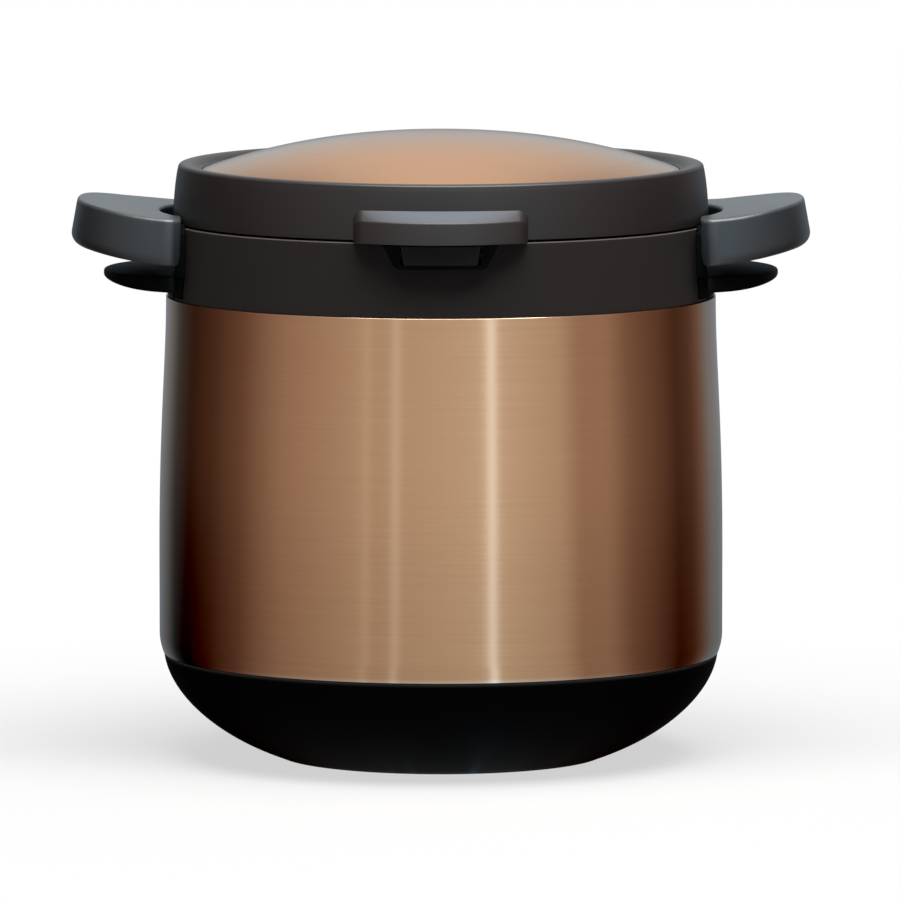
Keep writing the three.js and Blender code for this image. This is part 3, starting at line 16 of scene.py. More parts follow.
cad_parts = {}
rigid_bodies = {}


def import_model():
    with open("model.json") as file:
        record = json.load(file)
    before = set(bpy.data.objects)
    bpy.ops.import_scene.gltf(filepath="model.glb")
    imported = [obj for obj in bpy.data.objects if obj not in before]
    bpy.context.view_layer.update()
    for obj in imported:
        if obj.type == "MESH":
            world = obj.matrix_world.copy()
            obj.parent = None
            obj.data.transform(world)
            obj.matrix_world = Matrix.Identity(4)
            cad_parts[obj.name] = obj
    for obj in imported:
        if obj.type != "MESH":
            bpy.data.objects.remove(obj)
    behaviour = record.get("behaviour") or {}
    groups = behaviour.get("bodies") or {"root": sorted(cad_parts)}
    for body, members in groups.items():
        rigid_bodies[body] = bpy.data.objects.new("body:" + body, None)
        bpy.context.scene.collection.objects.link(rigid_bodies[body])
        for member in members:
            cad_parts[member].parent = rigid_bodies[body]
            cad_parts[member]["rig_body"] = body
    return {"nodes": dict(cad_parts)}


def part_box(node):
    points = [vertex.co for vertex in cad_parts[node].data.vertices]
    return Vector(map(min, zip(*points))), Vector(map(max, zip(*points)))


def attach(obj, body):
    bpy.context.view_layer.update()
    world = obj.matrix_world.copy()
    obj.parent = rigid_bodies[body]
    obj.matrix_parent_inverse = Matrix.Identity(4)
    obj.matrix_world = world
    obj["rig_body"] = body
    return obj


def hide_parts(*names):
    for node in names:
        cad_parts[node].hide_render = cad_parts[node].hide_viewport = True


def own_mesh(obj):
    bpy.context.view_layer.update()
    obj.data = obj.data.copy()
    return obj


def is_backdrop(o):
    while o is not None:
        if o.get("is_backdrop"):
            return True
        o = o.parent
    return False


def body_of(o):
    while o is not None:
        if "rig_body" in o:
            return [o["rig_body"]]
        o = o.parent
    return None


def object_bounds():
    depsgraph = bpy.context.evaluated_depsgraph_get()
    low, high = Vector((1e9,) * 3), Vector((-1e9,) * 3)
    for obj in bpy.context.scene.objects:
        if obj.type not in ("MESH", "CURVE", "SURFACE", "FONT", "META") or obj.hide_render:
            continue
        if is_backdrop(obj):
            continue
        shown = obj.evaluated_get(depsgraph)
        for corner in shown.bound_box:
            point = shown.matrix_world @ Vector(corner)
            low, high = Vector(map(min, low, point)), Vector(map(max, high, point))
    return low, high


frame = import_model()
cad_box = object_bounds()
scene = bpy.context.scene
mm = 0.001
print("the cooker is", [round((b - a) / mm, 1) for a, b in zip(*cad_box)], "mm across, deep and high")

# %% [markdown]
# ## Where the pieces are
# The CAD model's boxes say where each piece starts and ends. Reading them here keeps every piece of
# this scene seated on its neighbours, and nothing has to be fitted by eye afterwards.

# %% Heights and radii of the main rings
fit = 0.3 * mm
NECK_WALL = 2 * mm


def low(node):
    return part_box(node)[0]


def high(node):
    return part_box(node)[1]


steel_r = high("outer_shell").x
cup_r = high("base_cup").x
collar_r = high("collar").x
lid_r = high("lid_ring").x
dome_r = high("lid_dome").x
neck_r = high("inner_liner").x
bore_r, mouth_r = neck_r + fit, neck_r - NECK_WALL
seam_z = high("base_cup").z
shoulder_z, collar_z = low("collar").z, high("collar").z
lid_z, crest_z = low("lid_ring").z, high("lid_ring").z
print("seam", round(seam_z / mm, 1), "shoulder", round(shoulder_z / mm, 1), "lid", round(lid_z / mm, 1))

# %% [markdown]
# ## The camera
# The photograph was taken with a long lens from far away and a little above: the rims are nearly
# flat ellipses and the sides barely converge. So the camera stands five metres off, and a long
# focal length brings the cooker back to size.

# %% Place the camera
CAMERA_AT = (4.2 * mm, -5206 * mm, 675 * mm)
AIM_HEIGHT = 141.3 * mm
LENS = 452.9
SENSOR = 36


def stood(thing, place, target):
    """Puts a camera or a lamp in its place, turned to a target."""
    thing.location = place
    aim = Vector(target) - thing.location
    thing.rotation_euler = aim.to_track_quat("-Z", "Y").to_euler()
    scene.collection.objects.link(thing)
    return aim


camera = bpy.data.objects.new("camera", bpy.data.cameras.new("camera"))
camera.data.lens, camera.data.sensor_width = LENS, SENSOR
aim = stood(camera, CAMERA_AT, (CAMERA_AT[0], 0, AIM_HEIGHT))
scene.camera = camera
scene.view_settings.view_transform = "Standard"
print("the camera looks down by", round(math.degrees(math.atan2(-aim.z, aim.y)), 2), "degrees")

# %% [markdown]
# ## The studio
# Polished metal has hardly any colour of its own: it shows the room. A product studio therefore
# stands bright cloths and dark cards round the object. The same panels are built here as brightness
# by direction, once, in a node group: a wide bright cloth in front with a few narrow lights in it,
# dark cards to both sides, and grey ones behind. The world and the floor both use it, so a
# reflection doesn't break where one ends and the other starts.


# %% Helpers for nodes and groups
def feed(tree, node, feeds):
    """Gives a node's sockets, by number or name, their values or the outputs of other nodes."""
    for socket, value in feeds.items():
        if isinstance(value, bpy.types.NodeSocket):
            tree.links.new(value, node.inputs[socket])
        else:
            node.inputs[socket].default_value = value


def node_in(tree, kind, feeds=None, **settings):
    made = tree.nodes.new(kind)
    for name, value in settings.items():
        setattr(made, name, value)
    feed(tree, made, feeds or {})
    return made


def new_group(name, inputs, outputs):
    """A node group and what it is given. An input without a value is a vector, the rest are numbers."""
    group = bpy.data.node_groups.new(name, "ShaderNodeTree")
    for label, value in inputs.items():
        kind = "NodeSocketVector" if value is None else "NodeSocketFloat"
        made = group.interface.new_socket(label, in_out="INPUT", socket_type=kind)
        if value is not None:
            made.default_value = value
    for label, kind in outputs.items():
        group.interface.new_socket(label, in_out="OUTPUT", socket_type=kind)
    return group, node_in(group, "NodeGroupInput").outputs


# %% Helpers for sums, shares and blends
def maths(tree, operation, *values):
    return node_in(tree, "ShaderNodeMath", dict(enumerate(values)), operation=operation).outputs[0]


def vector_maths(tree, operation, *values):
    made = node_in(tree, "ShaderNodeVectorMath", dict(enumerate(values)), operation=operation)
    return made.outputs["Value" if operation == "LENGTH" else "Vector"]


def parts_of(tree, vector):
    return node_in(tree, "ShaderNodeSeparateXYZ", {0: vector}).outputs


def share_of(tree, value, start, full, kind="LINEAR"):
    """How far a value has come from start to full, as a number from 0 to 1."""
    feeds = {"Value": value, "From Min": start, "From Max": full}
    return node_in(tree, "ShaderNodeMapRange", feeds, interpolation_type=kind).outputs[0]


def ramp_in(tree, share, stops):
    """A colour by a share, from a stop for each place and colour."""
    made = node_in(tree, "ShaderNodeValToRGB", {0: share})
    kept = made.color_ramp.elements
    for i, (place, colour) in enumerate(stops):
        stop = kept[i] if i < len(kept) else kept.new(place)
        stop.position = place
        stop.color = (*colour, 1)
    return made.outputs["Color"]


def blend_of(tree, share, first, second):
    """A colour between two, each of them written out or from a socket."""
    first, second = ((*c, 1) if isinstance(c, tuple) else c for c in (first, second))
    return node_in(tree, "ShaderNodeMix", {0: share, 6: first, 7: second}, data_type="RGBA").outputs[2]


def shader_blend(tree, share, first, second):
    return node_in(tree, "ShaderNodeMixShader", {0: share, 1: first, 2: second}).outputs[0]


# %% The panels round the cooker
# Direction in degrees, 0 towards the camera and growing to the right of its picture, and brightness.
CLOTHS_AND_CARDS = [
    (-180, 0.25), (-160, 0.22), (-151, 0.17), (-141, 0.06), (-126, 0.045), (-108, 0.1), (-90, 0.2),
    (-68, 0.45), (-42, 0.6), (-33, 0.66), (-30.5, 0.8), (-28, 0.66), (-21, 0.68), (-18.4, 0.95),
    (-16, 0.7), (2, 0.76), (14, 0.8), (18, 0.86), (20.9, 1.6), (23.5, 0.82), (50, 0.66), (59, 0.46),
    (72, 0.46), (84, 0.28), (96, 0.2), (114, 0.09), (126, 0.12), (134, 0.2), (146, 0.24), (180, 0.25),
]

# How much green and blue a card of each brightness sends, to its red: dark card is warm brown,
# white cloth is neutral, and the lit strips are cool. The cards behind the cooker are cool as well.
CAST = [(0, 0.42, 0.22), (0.16, 0.68, 0.58), (0.48, 0.88, 0.85), (0.8, 1.08, 1.1), (1.2, 1.36, 1.8)]
BEHIND, BEHIND_CAST = 138, (1.2, 1.4)


def cast_of(degrees, brightness):
    """The cast of a card, between the two rows of CAST round its brightness."""
    if abs(degrees) > BEHIND:
        return BEHIND_CAST
    brightness = min(brightness, CAST[-1][0])
    for (b0, *low_end), (b1, *high_end) in zip(CAST, CAST[1:]):
        if brightness <= b1:
            t = (brightness - b0) / (b1 - b0)
            return [a + (b - a) * t for a, b in zip(low_end, high_end)]


tints = []
for degrees, brightness in CLOTHS_AND_CARDS:
    green, blue = cast_of(degrees, brightness)
    tints.append(((degrees + 180) / 360, (brightness, brightness * green, brightness * blue)))
panels, given = new_group(
    "studio_panels", {"Direction": None, "Nearness": 0}, {"Colour": "NodeSocketColor"}
)
x, y, z = parts_of(panels, given["Direction"])
turn = maths(panels, "ARCTAN2", x, maths(panels, "MULTIPLY", y, -1))
lean = maths(panels, "SINE", maths(panels, "MULTIPLY", turn, 0.5))
true_turn = maths(panels, "MULTIPLY_ADD", lean, given["Nearness"], turn)
panel = ramp_in(panels, share_of(panels, true_turn, -math.pi, math.pi), tints)
node_in(panels, "NodeGroupOutput", {"Colour": panel})
print(len(tints), "cloths, cards and lights round the cooker")

# %% The world: white to the camera, panels to the metal, an even glow to the rest
GLOW = 0.12
SWEEP_FROM, SWEEP_FULL = 0.965, 1
SWEEP = [  # by height
    (0.02, (0.2, 0.24, 0.28)), (0.1, (0.5, 0.62, 0.71)), (0.2, (0.62, 0.69, 0.72)),
    (0.45, (0.95, 0.86, 0.76)), (0.75, (1.1, 1.1, 1.1)),
]
OVERHEAD_FROM, OVERHEAD_FULL = 0.75, 0.95
OVERHEAD = (1, 1, 1)
WHITE = (1, 1, 1, 1)

scene.world = bpy.data.worlds.new("studio")
scene.world.use_nodes = True
sky = scene.world.node_tree
sky.nodes.clear()
rays = node_in(sky, "ShaderNodeLightPath").outputs
way = node_in(sky, "ShaderNodeTexCoord").outputs["Generated"]
height = parts_of(sky, way)["Z"]
level_way = vector_maths(sky, "NORMALIZE", vector_maths(sky, "MULTIPLY", way, (1, 1, 0)))
backwards = share_of(sky, parts_of(sky, level_way)["Y"], SWEEP_FROM, SWEEP_FULL, "SMOOTHSTEP")
cards = node_in(sky, "ShaderNodeGroup", {"Direction": way}, node_tree=panels).outputs["Colour"]
with_sweep = blend_of(sky, backwards, cards, ramp_in(sky, height, SWEEP))
upwards = share_of(sky, height, OVERHEAD_FROM, OVERHEAD_FULL, "SMOOTHSTEP")
room = blend_of(sky, upwards, with_sweep, OVERHEAD)
white, even, glossy = (
    node_in(sky, "ShaderNodeBackground", {"Color": colour, "Strength": strength}).outputs[0]
    for colour, strength in ((WHITE, 1), (WHITE, GLOW), (room, 1))
)
clear = maths(sky, "MAXIMUM", rays["Is Camera Ray"], rays["Is Transmission Ray"])
to_metal = shader_blend(sky, rays["Is Glossy Ray"], even, glossy)
node_in(sky, "ShaderNodeOutputWorld", {"Surface": shader_blend(sky, clear, to_metal, white)})
print("world:", len(sky.nodes), "nodes")

# %% One broad soft lamp over the front
KEY_AT = (0.15, -0.5, 1.95)
KEY_SIDE = 1.6
KEY_WATTS = 66

key_lamp = bpy.data.objects.new("key_lamp", bpy.data.lights.new("key_lamp", "AREA"))
key_lamp.data.size, key_lamp.data.energy = KEY_SIDE, KEY_WATTS
stood(key_lamp, KEY_AT, (0, 0, AIM_HEIGHT))
print("key lamp:", KEY_WATTS, "W")

# %% [markdown]
# ## Ways to make a mesh
# Nearly everything on a cooker is turned on a lathe, pressed from a sheet or moulded in two halves.
# Three helpers cover that: one turns an outline round the axis, one stacks or rows up closed loops
# and skins them, and one cuts a piece with others. A primitive would be quicker, but it has no
# rounded edges, and rounded edges are what catch the light.

# %% Curves and softened corners
# The edges of the cooker are rounded by radii of a few sizes.
HAIR, CRISP, FINE, LIGHT, SOFT = 0.1 * mm, 0.2 * mm, 0.3 * mm, 0.4 * mm, 0.5 * mm
MILD, BROAD, ROUND, FULL = 0.6 * mm, 0.7 * mm, 0.8 * mm, 1.2 * mm
RUN_SHARE = 0.48  # of a side, at most, for the rounding of a corner


def curve(points, steps):
    """Points along a Bezier curve of any degree."""
    made = []
    for k in range(steps + 1):
        level = [Vector(p) for p in points]
        while len(level) > 1:
            level = [a.lerp(b, k / steps) for a, b in zip(level, level[1:])]
        made.append(tuple(level[0]))
    return made


def softened(corners, steps=5):
    """A closed outline: a corner given with a third number is rounded by that radius."""
    points = []
    for i, corner in enumerate(corners):
        if len(corner) == 2:
            points.append(tuple(corner))
            continue
        here = Vector(corner[:2])
        ways = [Vector(corners[k][:2]) - here for k in (i - 1, (i + 1) % len(corners))]
        half = ways[0].angle(ways[1], math.pi) / 2
        run = corner[2] / max(math.tan(half), 1e-6)
        ends = [here + way.normalized() * min(run, way.length * RUN_SHARE) for way in ways]
        points += curve([ends[0], here, ends[1]], steps)
    return points


def quarter(steps):
    return [math.pi / 2 * k / steps for k in range(steps + 1)]


# %% From vertices and faces to a shaded piece
SHARP = math.radians(32)
WELD = 0.002 * mm


def finished_mesh(piece):
    """Welds doubles, turns the faces outwards, and shades smooth except over sharp edges."""
    work = bmesh.new()
    work.from_mesh(piece.data)
    bmesh.ops.remove_doubles(work, verts=work.verts, dist=WELD)
    bmesh.ops.recalc_face_normals(work, faces=work.faces)
    work.to_mesh(piece.data)
    work.free()
    piece.data.shade_smooth()
    piece.data.set_sharp_from_angle(angle=SHARP)
    return piece


def shaped(name, vertices, faces):
    mesh = bpy.data.meshes.new(name)
    mesh.from_pydata([tuple(v) for v in vertices], [], faces)
    piece = bpy.data.objects.new(name, mesh)
    scene.collection.objects.link(piece)
    return finished_mesh(piece)


# %% The lathe
LATHE_STEPS = 192


def turned(name, corners, steps=LATHE_STEPS, lift=None, soft=5):
    """A closed outline of radius and height, turned round the axis. lift changes a point's height."""
    outline = softened(corners, soft)
    count = len(outline)
    vertices, faces = [], []
    for j in range(steps):
        angle = 2 * math.pi * j / steps
        for r, z in outline:
            point = Vector((r * math.cos(angle), r * math.sin(angle), z))
            vertices.append(lift(point) if lift else point)
        ahead = (j + 1) % steps
        for i in range(count):
            k = (i + 1) % count
            if max(outline[i][0], outline[k][0]) > WELD:
                faces.append((j * count + i, ahead * count + i, ahead * count + k, j * count + k))
    return shaped(name, vertices, faces)


# %% Skins over rows of loops
def skinned(name, loops):
    """Closed loops with equal counts, skinned one to the next and capped at both ends."""
    count = len(loops[0])
    vertices = [p for loop in loops for p in loop]
    faces = [tuple(reversed(range(count))), tuple(range(len(vertices) - count, len(vertices)))]
    for j in range(len(loops) - 1):
        for i in range(count):
            k = (i + 1) % count
            faces.append((j * count + i, j * count + k, (j + 1) * count + k, (j + 1) * count + i))
    return shaped(name, vertices, faces)


def drawn_in(outline, amount):
    """A closed outline moved inwards, by one amount or by a function of the point."""
    moved = []
    for i, point in enumerate(outline):
        before, after = Vector(outline[i - 1]), Vector(outline[(i + 1) % len(outline)])
        a, b = (Vector(point) - before).normalized(), (after - Vector(point)).normalized()
        inward = Vector((-a.y - b.y, a.x + b.x))
        here = amount(point) if callable(amount) else amount
        moved.append(Vector(point) + inward * here / max(1 + a.dot(b), 0.5))
    return moved


def slab(name, outline, layers, reshape=None):
    """An outline seen from above, stacked: each layer has its inset and its height, or a function."""
    loops = []
    for draw, height in layers:
        loop = drawn_in(outline, draw)
        loop = [Vector((p.x, p.y, height(p.x) if callable(height) else height)) for p in loop]
        loops.append([reshape(p) for p in loop] if reshape else loop)
    return skinned(name, loops)


def rounded_layers(bottom, top, bottom_round, top_round, steps=5):
    """Layers of a slab whose lower and upper edges are rounded."""
    turns = quarter(steps)
    lower = [(bottom_round * (1 - math.sin(a)), bottom + bottom_round * (1 - math.cos(a))) for a in turns]
    return lower + [(top_round * (1 - math.cos(a)), top - top_round * (1 - math.sin(a))) for a in turns]


def box_piece(name, corner, other, edge):
    """A block with all its edges rounded, the upright ones by half as much again."""
    (x0, y0, z0), (x1, y1, z1) = corner, other
    plan = [(x, y, edge * 1.5) for x, y in ((x0, y0), (x1, y0), (x1, y1), (x0, y1))]
    return slab(name, softened(plan), rounded_layers(z0, z1, edge, edge, 3))


# %% Wires, cuts and joins
def wire(name, path, radius, sides=12):
    """A round wire along a path of points."""
    path = [Vector(p) for p in path]
    loops, across = [], None
    for i, point in enumerate(path):
        along = (path[min(i + 1, len(path) - 1)] - path[max(i - 1, 0)]).normalized()
        across = across or along.orthogonal()
        across = (across - along * across.dot(along)).normalized()
        other = along.cross(across)
        turns = [2 * math.pi * k / sides for k in range(sides)]
        loops.append([point + (across * math.cos(t) + other * math.sin(t)) * radius for t in turns])
    return skinned(name, loops)


def carved(piece, tools):
    """Cuts a piece with tools, which are used up, and keeps the result in its mesh."""
    for tool in tools:
        change = piece.modifiers.new("cut", "BOOLEAN")
        change.operation = "DIFFERENCE"
        change.solver = "EXACT"
        change.object = tool
    bpy.context.view_layer.update()
    result = bpy.data.meshes.new_from_object(piece.evaluated_get(bpy.context.evaluated_depsgraph_get()))
    piece.modifiers.clear()
    piece.data = result
    for tool in tools:
        bpy.data.objects.remove(tool)
    return finished_mesh(piece)


def joined(piece, *others):
    """Puts the meshes of others into a piece."""
    work = bmesh.new()
    for part in (piece, *others):
        work.from_mesh(part.data)
    work.to_mesh(piece.data)
    work.free()
    for part in others:
        bpy.data.objects.remove(part)
    piece.data.set_sharp_from_angle(angle=SHARP)
    return piece


def placed(piece, matrix):
    piece.data.transform(matrix)
    if matrix.determinant() < 0:
        piece.data.flip_normals()
    return piece


# %% [markdown]
# ## Finishes
# Three effects come back in many finishes, so each is a node group with its own inputs: the lines
# that a brushing wheel leaves round a turned sheet, the fine grain of an etched mould, and sharp
# edges, which take a paler colour that is partly wear from hands and partly a painted highlight. A
# group only gives masks and heights. The shader stays in the material.


# %% Groups for the lines of a brushing wheel, the grain of a mould, and worn and highlit edges
def noise(tree, at, **feeds):
    return node_in(tree, "ShaderNodeTexNoise", {"Vector": at, **feeds}).outputs["Fac"]


def mask_group(name, inputs, *masks):
    return new_group(name, inputs, {mask: "NodeSocketFloat" for mask in masks})


brushing, given = mask_group("wheel_brushing", {"Fineness": 900, "Length": 14}, "Lines", "Haze")
spot = node_in(brushing, "ShaderNodeTexCoord").outputs["Object"]
x, y, z = parts_of(brushing, spot)
flat = node_in(brushing, "ShaderNodeCombineXYZ", {0: x, 1: y}).outputs[0]
travel = maths(brushing, "ADD", z, vector_maths(brushing, "LENGTH", flat))
line_at = node_in(brushing, "ShaderNodeCombineXYZ", {
    0: maths(brushing, "MULTIPLY", x, given["Length"]),
    1: maths(brushing, "MULTIPLY", y, given["Length"]),
    2: maths(brushing, "MULTIPLY", travel, given["Fineness"]),
}).outputs[0]
lines = noise(brushing, line_at, Scale=1, Detail=3)
node_in(brushing, "NodeGroupOutput", {"Lines": lines, "Haze": noise(brushing, spot, Scale=9)})

grain, given = mask_group("mould_grain", {"Fineness": 2600}, "Grain", "Cloud")
spot = node_in(grain, "ShaderNodeTexCoord").outputs["Object"]
pits = noise(grain, spot, Scale=given["Fineness"], Detail=2)
node_in(grain, "NodeGroupOutput", {"Grain": pits, "Cloud": noise(grain, spot, Scale=22)})

# Sharp edges, found by their pointiness, for a paler colour that is partly wear and partly a painted
# highlight.
edge_wear_and_highlight, given = mask_group("worn_and_highlit_edges", {"Start": 0.51, "Full": 0.555}, "Wear_and_highlight")
pointed = node_in(edge_wear_and_highlight, "ShaderNodeNewGeometry").outputs["Pointiness"]
edge_share = share_of(edge_wear_and_highlight, pointed, given["Start"], given["Full"])
node_in(edge_wear_and_highlight, "NodeGroupOutput", {"Wear_and_highlight": edge_share})
print("groups:", [g.name for g in bpy.data.node_groups])


# %% Metal finishes
BRUSH_RELIEF, BRUSH_DEPTH = 0.08, 0.05 * mm


def new_finish(name):
    made = bpy.data.materials.new(name)
    made.use_nodes = True
    return made, made.node_tree, made.node_tree.nodes["Principled BSDF"]


def bumped(tree, height, strength, distance):
    feeds = {"Strength": strength, "Distance": distance, "Height": height}
    return node_in(tree, "ShaderNodeBump", feeds).outputs[0]


def brushed_metal(name, colour, dark, roughness, spread, coat=0.0, wear_and_highlight_colour=None):
    """A turned and brushed sheet: lines round the axis, and highlights drawn out across them."""
    made, tree, shader = new_finish(name)
    wheel = node_in(tree, "ShaderNodeGroup", node_tree=brushing).outputs
    sheen = blend_of(tree, wheel["Lines"], dark, colour)
    # Sharp edges of the sheet turn paler: partly wear and partly a painted highlight.
    if wear_and_highlight_colour:
        edges = node_in(tree, "ShaderNodeGroup", node_tree=edge_wear_and_highlight).outputs["Wear_and_highlight"]
        sheen = blend_of(tree, edges, sheen, wear_and_highlight_colour)
    rough = maths(tree, "MULTIPLY_ADD", wheel["Lines"], roughness * 0.5, roughness * 0.7)
    round_axis = node_in(tree, "ShaderNodeTangent", direction_type="RADIAL", axis="Z")
    feed(tree, shader, {
        "Base Color": sheen,
        "Metallic": 1,
        "Roughness": maths(tree, "MULTIPLY_ADD", wheel["Haze"], roughness * 0.12, rough),
        "Anisotropic": spread,
        "Anisotropic Rotation": 0.25,
        "Coat Weight": coat,
        "Coat Roughness": 0.12,
        "Normal": bumped(tree, wheel["Lines"], BRUSH_RELIEF, BRUSH_DEPTH),
        "Tangent": round_axis.outputs[0],
    })
    return made


# The copper wall's paler colour on its sharp edges is partly wear and partly a painted highlight.
copper_steel = brushed_metal(
    "brushed_copper_steel", (0.65, 0.385, 0.22), (0.59, 0.33, 0.18), 0.15, 0.6, 0.1, (0.74, 0.58, 0.46)
)
dome_steel = brushed_metal(
    "brushed_copper_dome", (0.6, 0.335, 0.178), (0.54, 0.285, 0.14), 0.22, 0.3, 0.1
)
liner_steel = brushed_metal("brushed_liner_steel", (0.66, 0.66, 0.65), (0.5, 0.5, 0.5), 0.3, 0.4)
pot_steel = brushed_metal("satin_pot_steel", (0.7, 0.7, 0.69), (0.55, 0.55, 0.55), 0.22, 0.3)
screw_steel = brushed_metal("zinc_plated_screws", (0.62, 0.62, 0.6), (0.45, 0.45, 0.44), 0.35, 0.0)
print(len(bpy.data.materials), "metals")


# %% Moulded finishes
def moulded(name, colour, wear_and_highlight_colour, roughness, depth=0.05, fineness=2600, shine=0.3, wear_and_highlight_at=None, painted_top_light=None):
    """A moulded plastic or rubber: grain of a depth in millimetres, a little cloud, and a paler colour on
    sharp edges, which is partly wear and partly a painted highlight.

    The pointiness at which that edge colour starts and is full can be given, and a paler colour for
    faces that look up, painted light from above, with its share for each height of their normal.
    """
    made, tree, shader = new_finish(name)
    mould = node_in(tree, "ShaderNodeGroup", node_tree=grain)
    mould.inputs["Fineness"].default_value = fineness
    mould = mould.outputs
    edges = node_in(tree, "ShaderNodeGroup", node_tree=edge_wear_and_highlight)
    if wear_and_highlight_at:
        feed(tree, edges, {"Start": wear_and_highlight_at[0], "Full": wear_and_highlight_at[1]})
    edges = edges.outputs["Wear_and_highlight"]
    body = blend_of(tree, mould["Cloud"], tuple(0.88 * c for c in colour), colour)
    # Faces that look up get a paler colour: painted light from above.
    if painted_top_light:
        facing = parts_of(tree, node_in(tree, "ShaderNodeTexCoord").outputs["Normal"])["Z"]
        stops = [(rise, (share, share, share)) for rise, share in painted_top_light[1:]]
        body = blend_of(tree, ramp_in(tree, facing, stops), body, painted_top_light[0])
    rough = maths(tree, "MULTIPLY_ADD", mould["Cloud"], roughness * 0.2, roughness * 0.9)
    # Sharp edges take the paler edge colour: partly wear and partly a painted highlight.
    feed(tree, shader, {
        "Base Color": blend_of(tree, edges, body, wear_and_highlight_colour),
        "Roughness": maths(tree, "MULTIPLY_ADD", edges, -roughness * 0.3, rough),
        "Specular IOR Level": shine,
        "Normal": bumped(tree, mould["Grain"], 0.35, depth * mm),
    })
    return made


# Each finish below also takes a colour for its sharp edges, which is partly wear and partly a painted
# highlight. On the base, the lid, the tab and the ear grips it is far paler than the plastic, and paints
# the bright lines along their edges.
base_black = moulded(
    "base_black_plastic", (0.0012, 0.0012, 0.0014), (0.2, 0.2, 0.21), 0.65, 0.03, shine=0.02
)
latch_black = moulded(
    "latch_black_plastic", (0.0016, 0.0015, 0.0015), (0.004, 0.004, 0.004), 0.45, 0.03, shine=0.03
)
button_black = moulded(
    "button_black_plastic", (0.0065, 0.0056, 0.0052), (0.014, 0.013, 0.012), 0.4, 0.03, shine=0.1
)
guard_black = moulded(
    "guard_black_plastic", (0.003, 0.0038, 0.004), (0.008, 0.009, 0.009), 0.5, 0.01, shine=0.02
)
# The collar's faces that lean up but are not level, as on its rounded top edge, get a paler brown: a
# painted highlight.
collar_brown = moulded(
    "collar_brown_plastic", (0.035, 0.0305, 0.0295), (0.05, 0.045, 0.043), 0.5, shine=0.03,
    painted_top_light=((0.2, 0.16, 0.145), (0.3, 0), (0.5, 1), (0.9, 1), (0.98, 0)),
)
lid_brown = moulded(
    "lid_brown_plastic", (0.021, 0.0178, 0.017), (0.09, 0.082, 0.08), 0.4, shine=0.45
)
# The tab's top gets a pale blue-grey, a painted reflection of the light overhead, and its edges a
# near-white colour, partly wear and partly a painted highlight.
tab_brown = moulded(
    "tab_brown_plastic", (0.014, 0.0092, 0.0086), (0.3, 0.285, 0.29), 0.5, shine=0.7,
    wear_and_highlight_at=(0.52, 0.57), painted_top_light=((0.105, 0.117, 0.137), (0.86, 0), (0.96, 1)),
)
grip_slate = moulded(
    "grip_slate_plastic", (0.023, 0.0325, 0.038), (0.13, 0.14, 0.15), 0.36, shine=0.7, wear_and_highlight_at=(0.515, 0.55)
)
pan_grey = moulded("pan_grey_plastic", (0.06, 0.06, 0.064), (0.1, 0.1, 0.105), 0.45)
pad_rubber = moulded("pad_rubber", (0.013, 0.013, 0.014), (0.03, 0.03, 0.03), 0.8, 0.12, 1400)
seal_silicone = moulded("seal_silicone", (0.4, 0.41, 0.4), (0.5, 0.51, 0.5), 0.5, 0.03)
foam_cream = moulded("foam_cream", (0.7, 0.63, 0.42), (0.75, 0.7, 0.5), 0.9, 0.5, 500)
print(len(bpy.data.materials), "finishes")


# %% Hand a piece over to its body
def keep(piece, body, slot, finish, *nodes):
    """Gives a piece its finish and its body, and hides the CAD nodes that it stands for."""
    piece.data.materials.clear()
    piece.data.materials.append(finish)
    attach(piece, body)
    if nodes:
        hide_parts(*nodes)
    print(f"{piece.name}: {len(piece.data.polygons)} faces, rides {body}")


# %% [markdown]
# ## The floor
# The cooker stands on a wide white sweep. The floor is pale and catches a soft shadow. To metal it
# shows the same panels as the world does, because the steel wall leans its reflections slightly
# down, onto the floor.

# %% Lay the sweep
FLOOR_RADIUS = 12
FLOOR_THICK = 5 * mm
FLOOR_PALE = 0.24
FLOOR_GLOW = 0.62
# In what the metal sees of the floor, the panels are darker near the cooker, fully within DIM_WITHIN
# metres and fading out by DIM_TO: painted shade round the cooker.
NEAR_DIMMING = 0.84
NEAR_LOSS = 0.04
DIM_WITHIN, DIM_TO = 0.5, 2
SHADOW_REACH, WHITE_BEYOND = 0.16, 0.5

floor_outline = [(0, 0), (FLOOR_RADIUS, 0), (FLOOR_RADIUS, -FLOOR_THICK), (0, -FLOOR_THICK)]
floor = turned("floor_sweep", floor_outline, 96)
sweep, tree, paint = new_finish("white_sweep")
pale = (FLOOR_PALE, FLOOR_PALE, FLOOR_PALE, 1)
feed(tree, paint, {"Base Color": pale, "Roughness": 0.9, "Specular IOR Level": 0.1})
rays = node_in(tree, "ShaderNodeLightPath").outputs
lit = node_in(tree, "ShaderNodeEmission", {"Strength": FLOOR_GLOW}).outputs[0]
glowing = node_in(tree, "ShaderNodeAddShader", {0: paint.outputs[0], 1: lit}).outputs[0]
only_camera = shader_blend(tree, rays["Is Camera Ray"], paint.outputs[0], glowing)
where = node_in(tree, "ShaderNodeNewGeometry").outputs["Position"]
far = vector_maths(tree, "LENGTH", where)
seen_from = {"Direction": where, "Nearness": maths(tree, "DIVIDE", steel_r, far)}
cloths = node_in(tree, "ShaderNodeGroup", seen_from, node_tree=panels).outputs["Colour"]
dimmed = vector_maths(tree, "MULTIPLY_ADD", cloths, (NEAR_DIMMING,) * 3, (-NEAR_LOSS,) * 3)
near_or_far = blend_of(tree, share_of(tree, far, DIM_WITHIN, DIM_TO), dimmed, cloths)
mirrored = node_in(tree, "ShaderNodeEmission", {"Color": near_or_far}).outputs[0]
to_metal = shader_blend(tree, rays["Is Glossy Ray"], only_camera, mirrored)
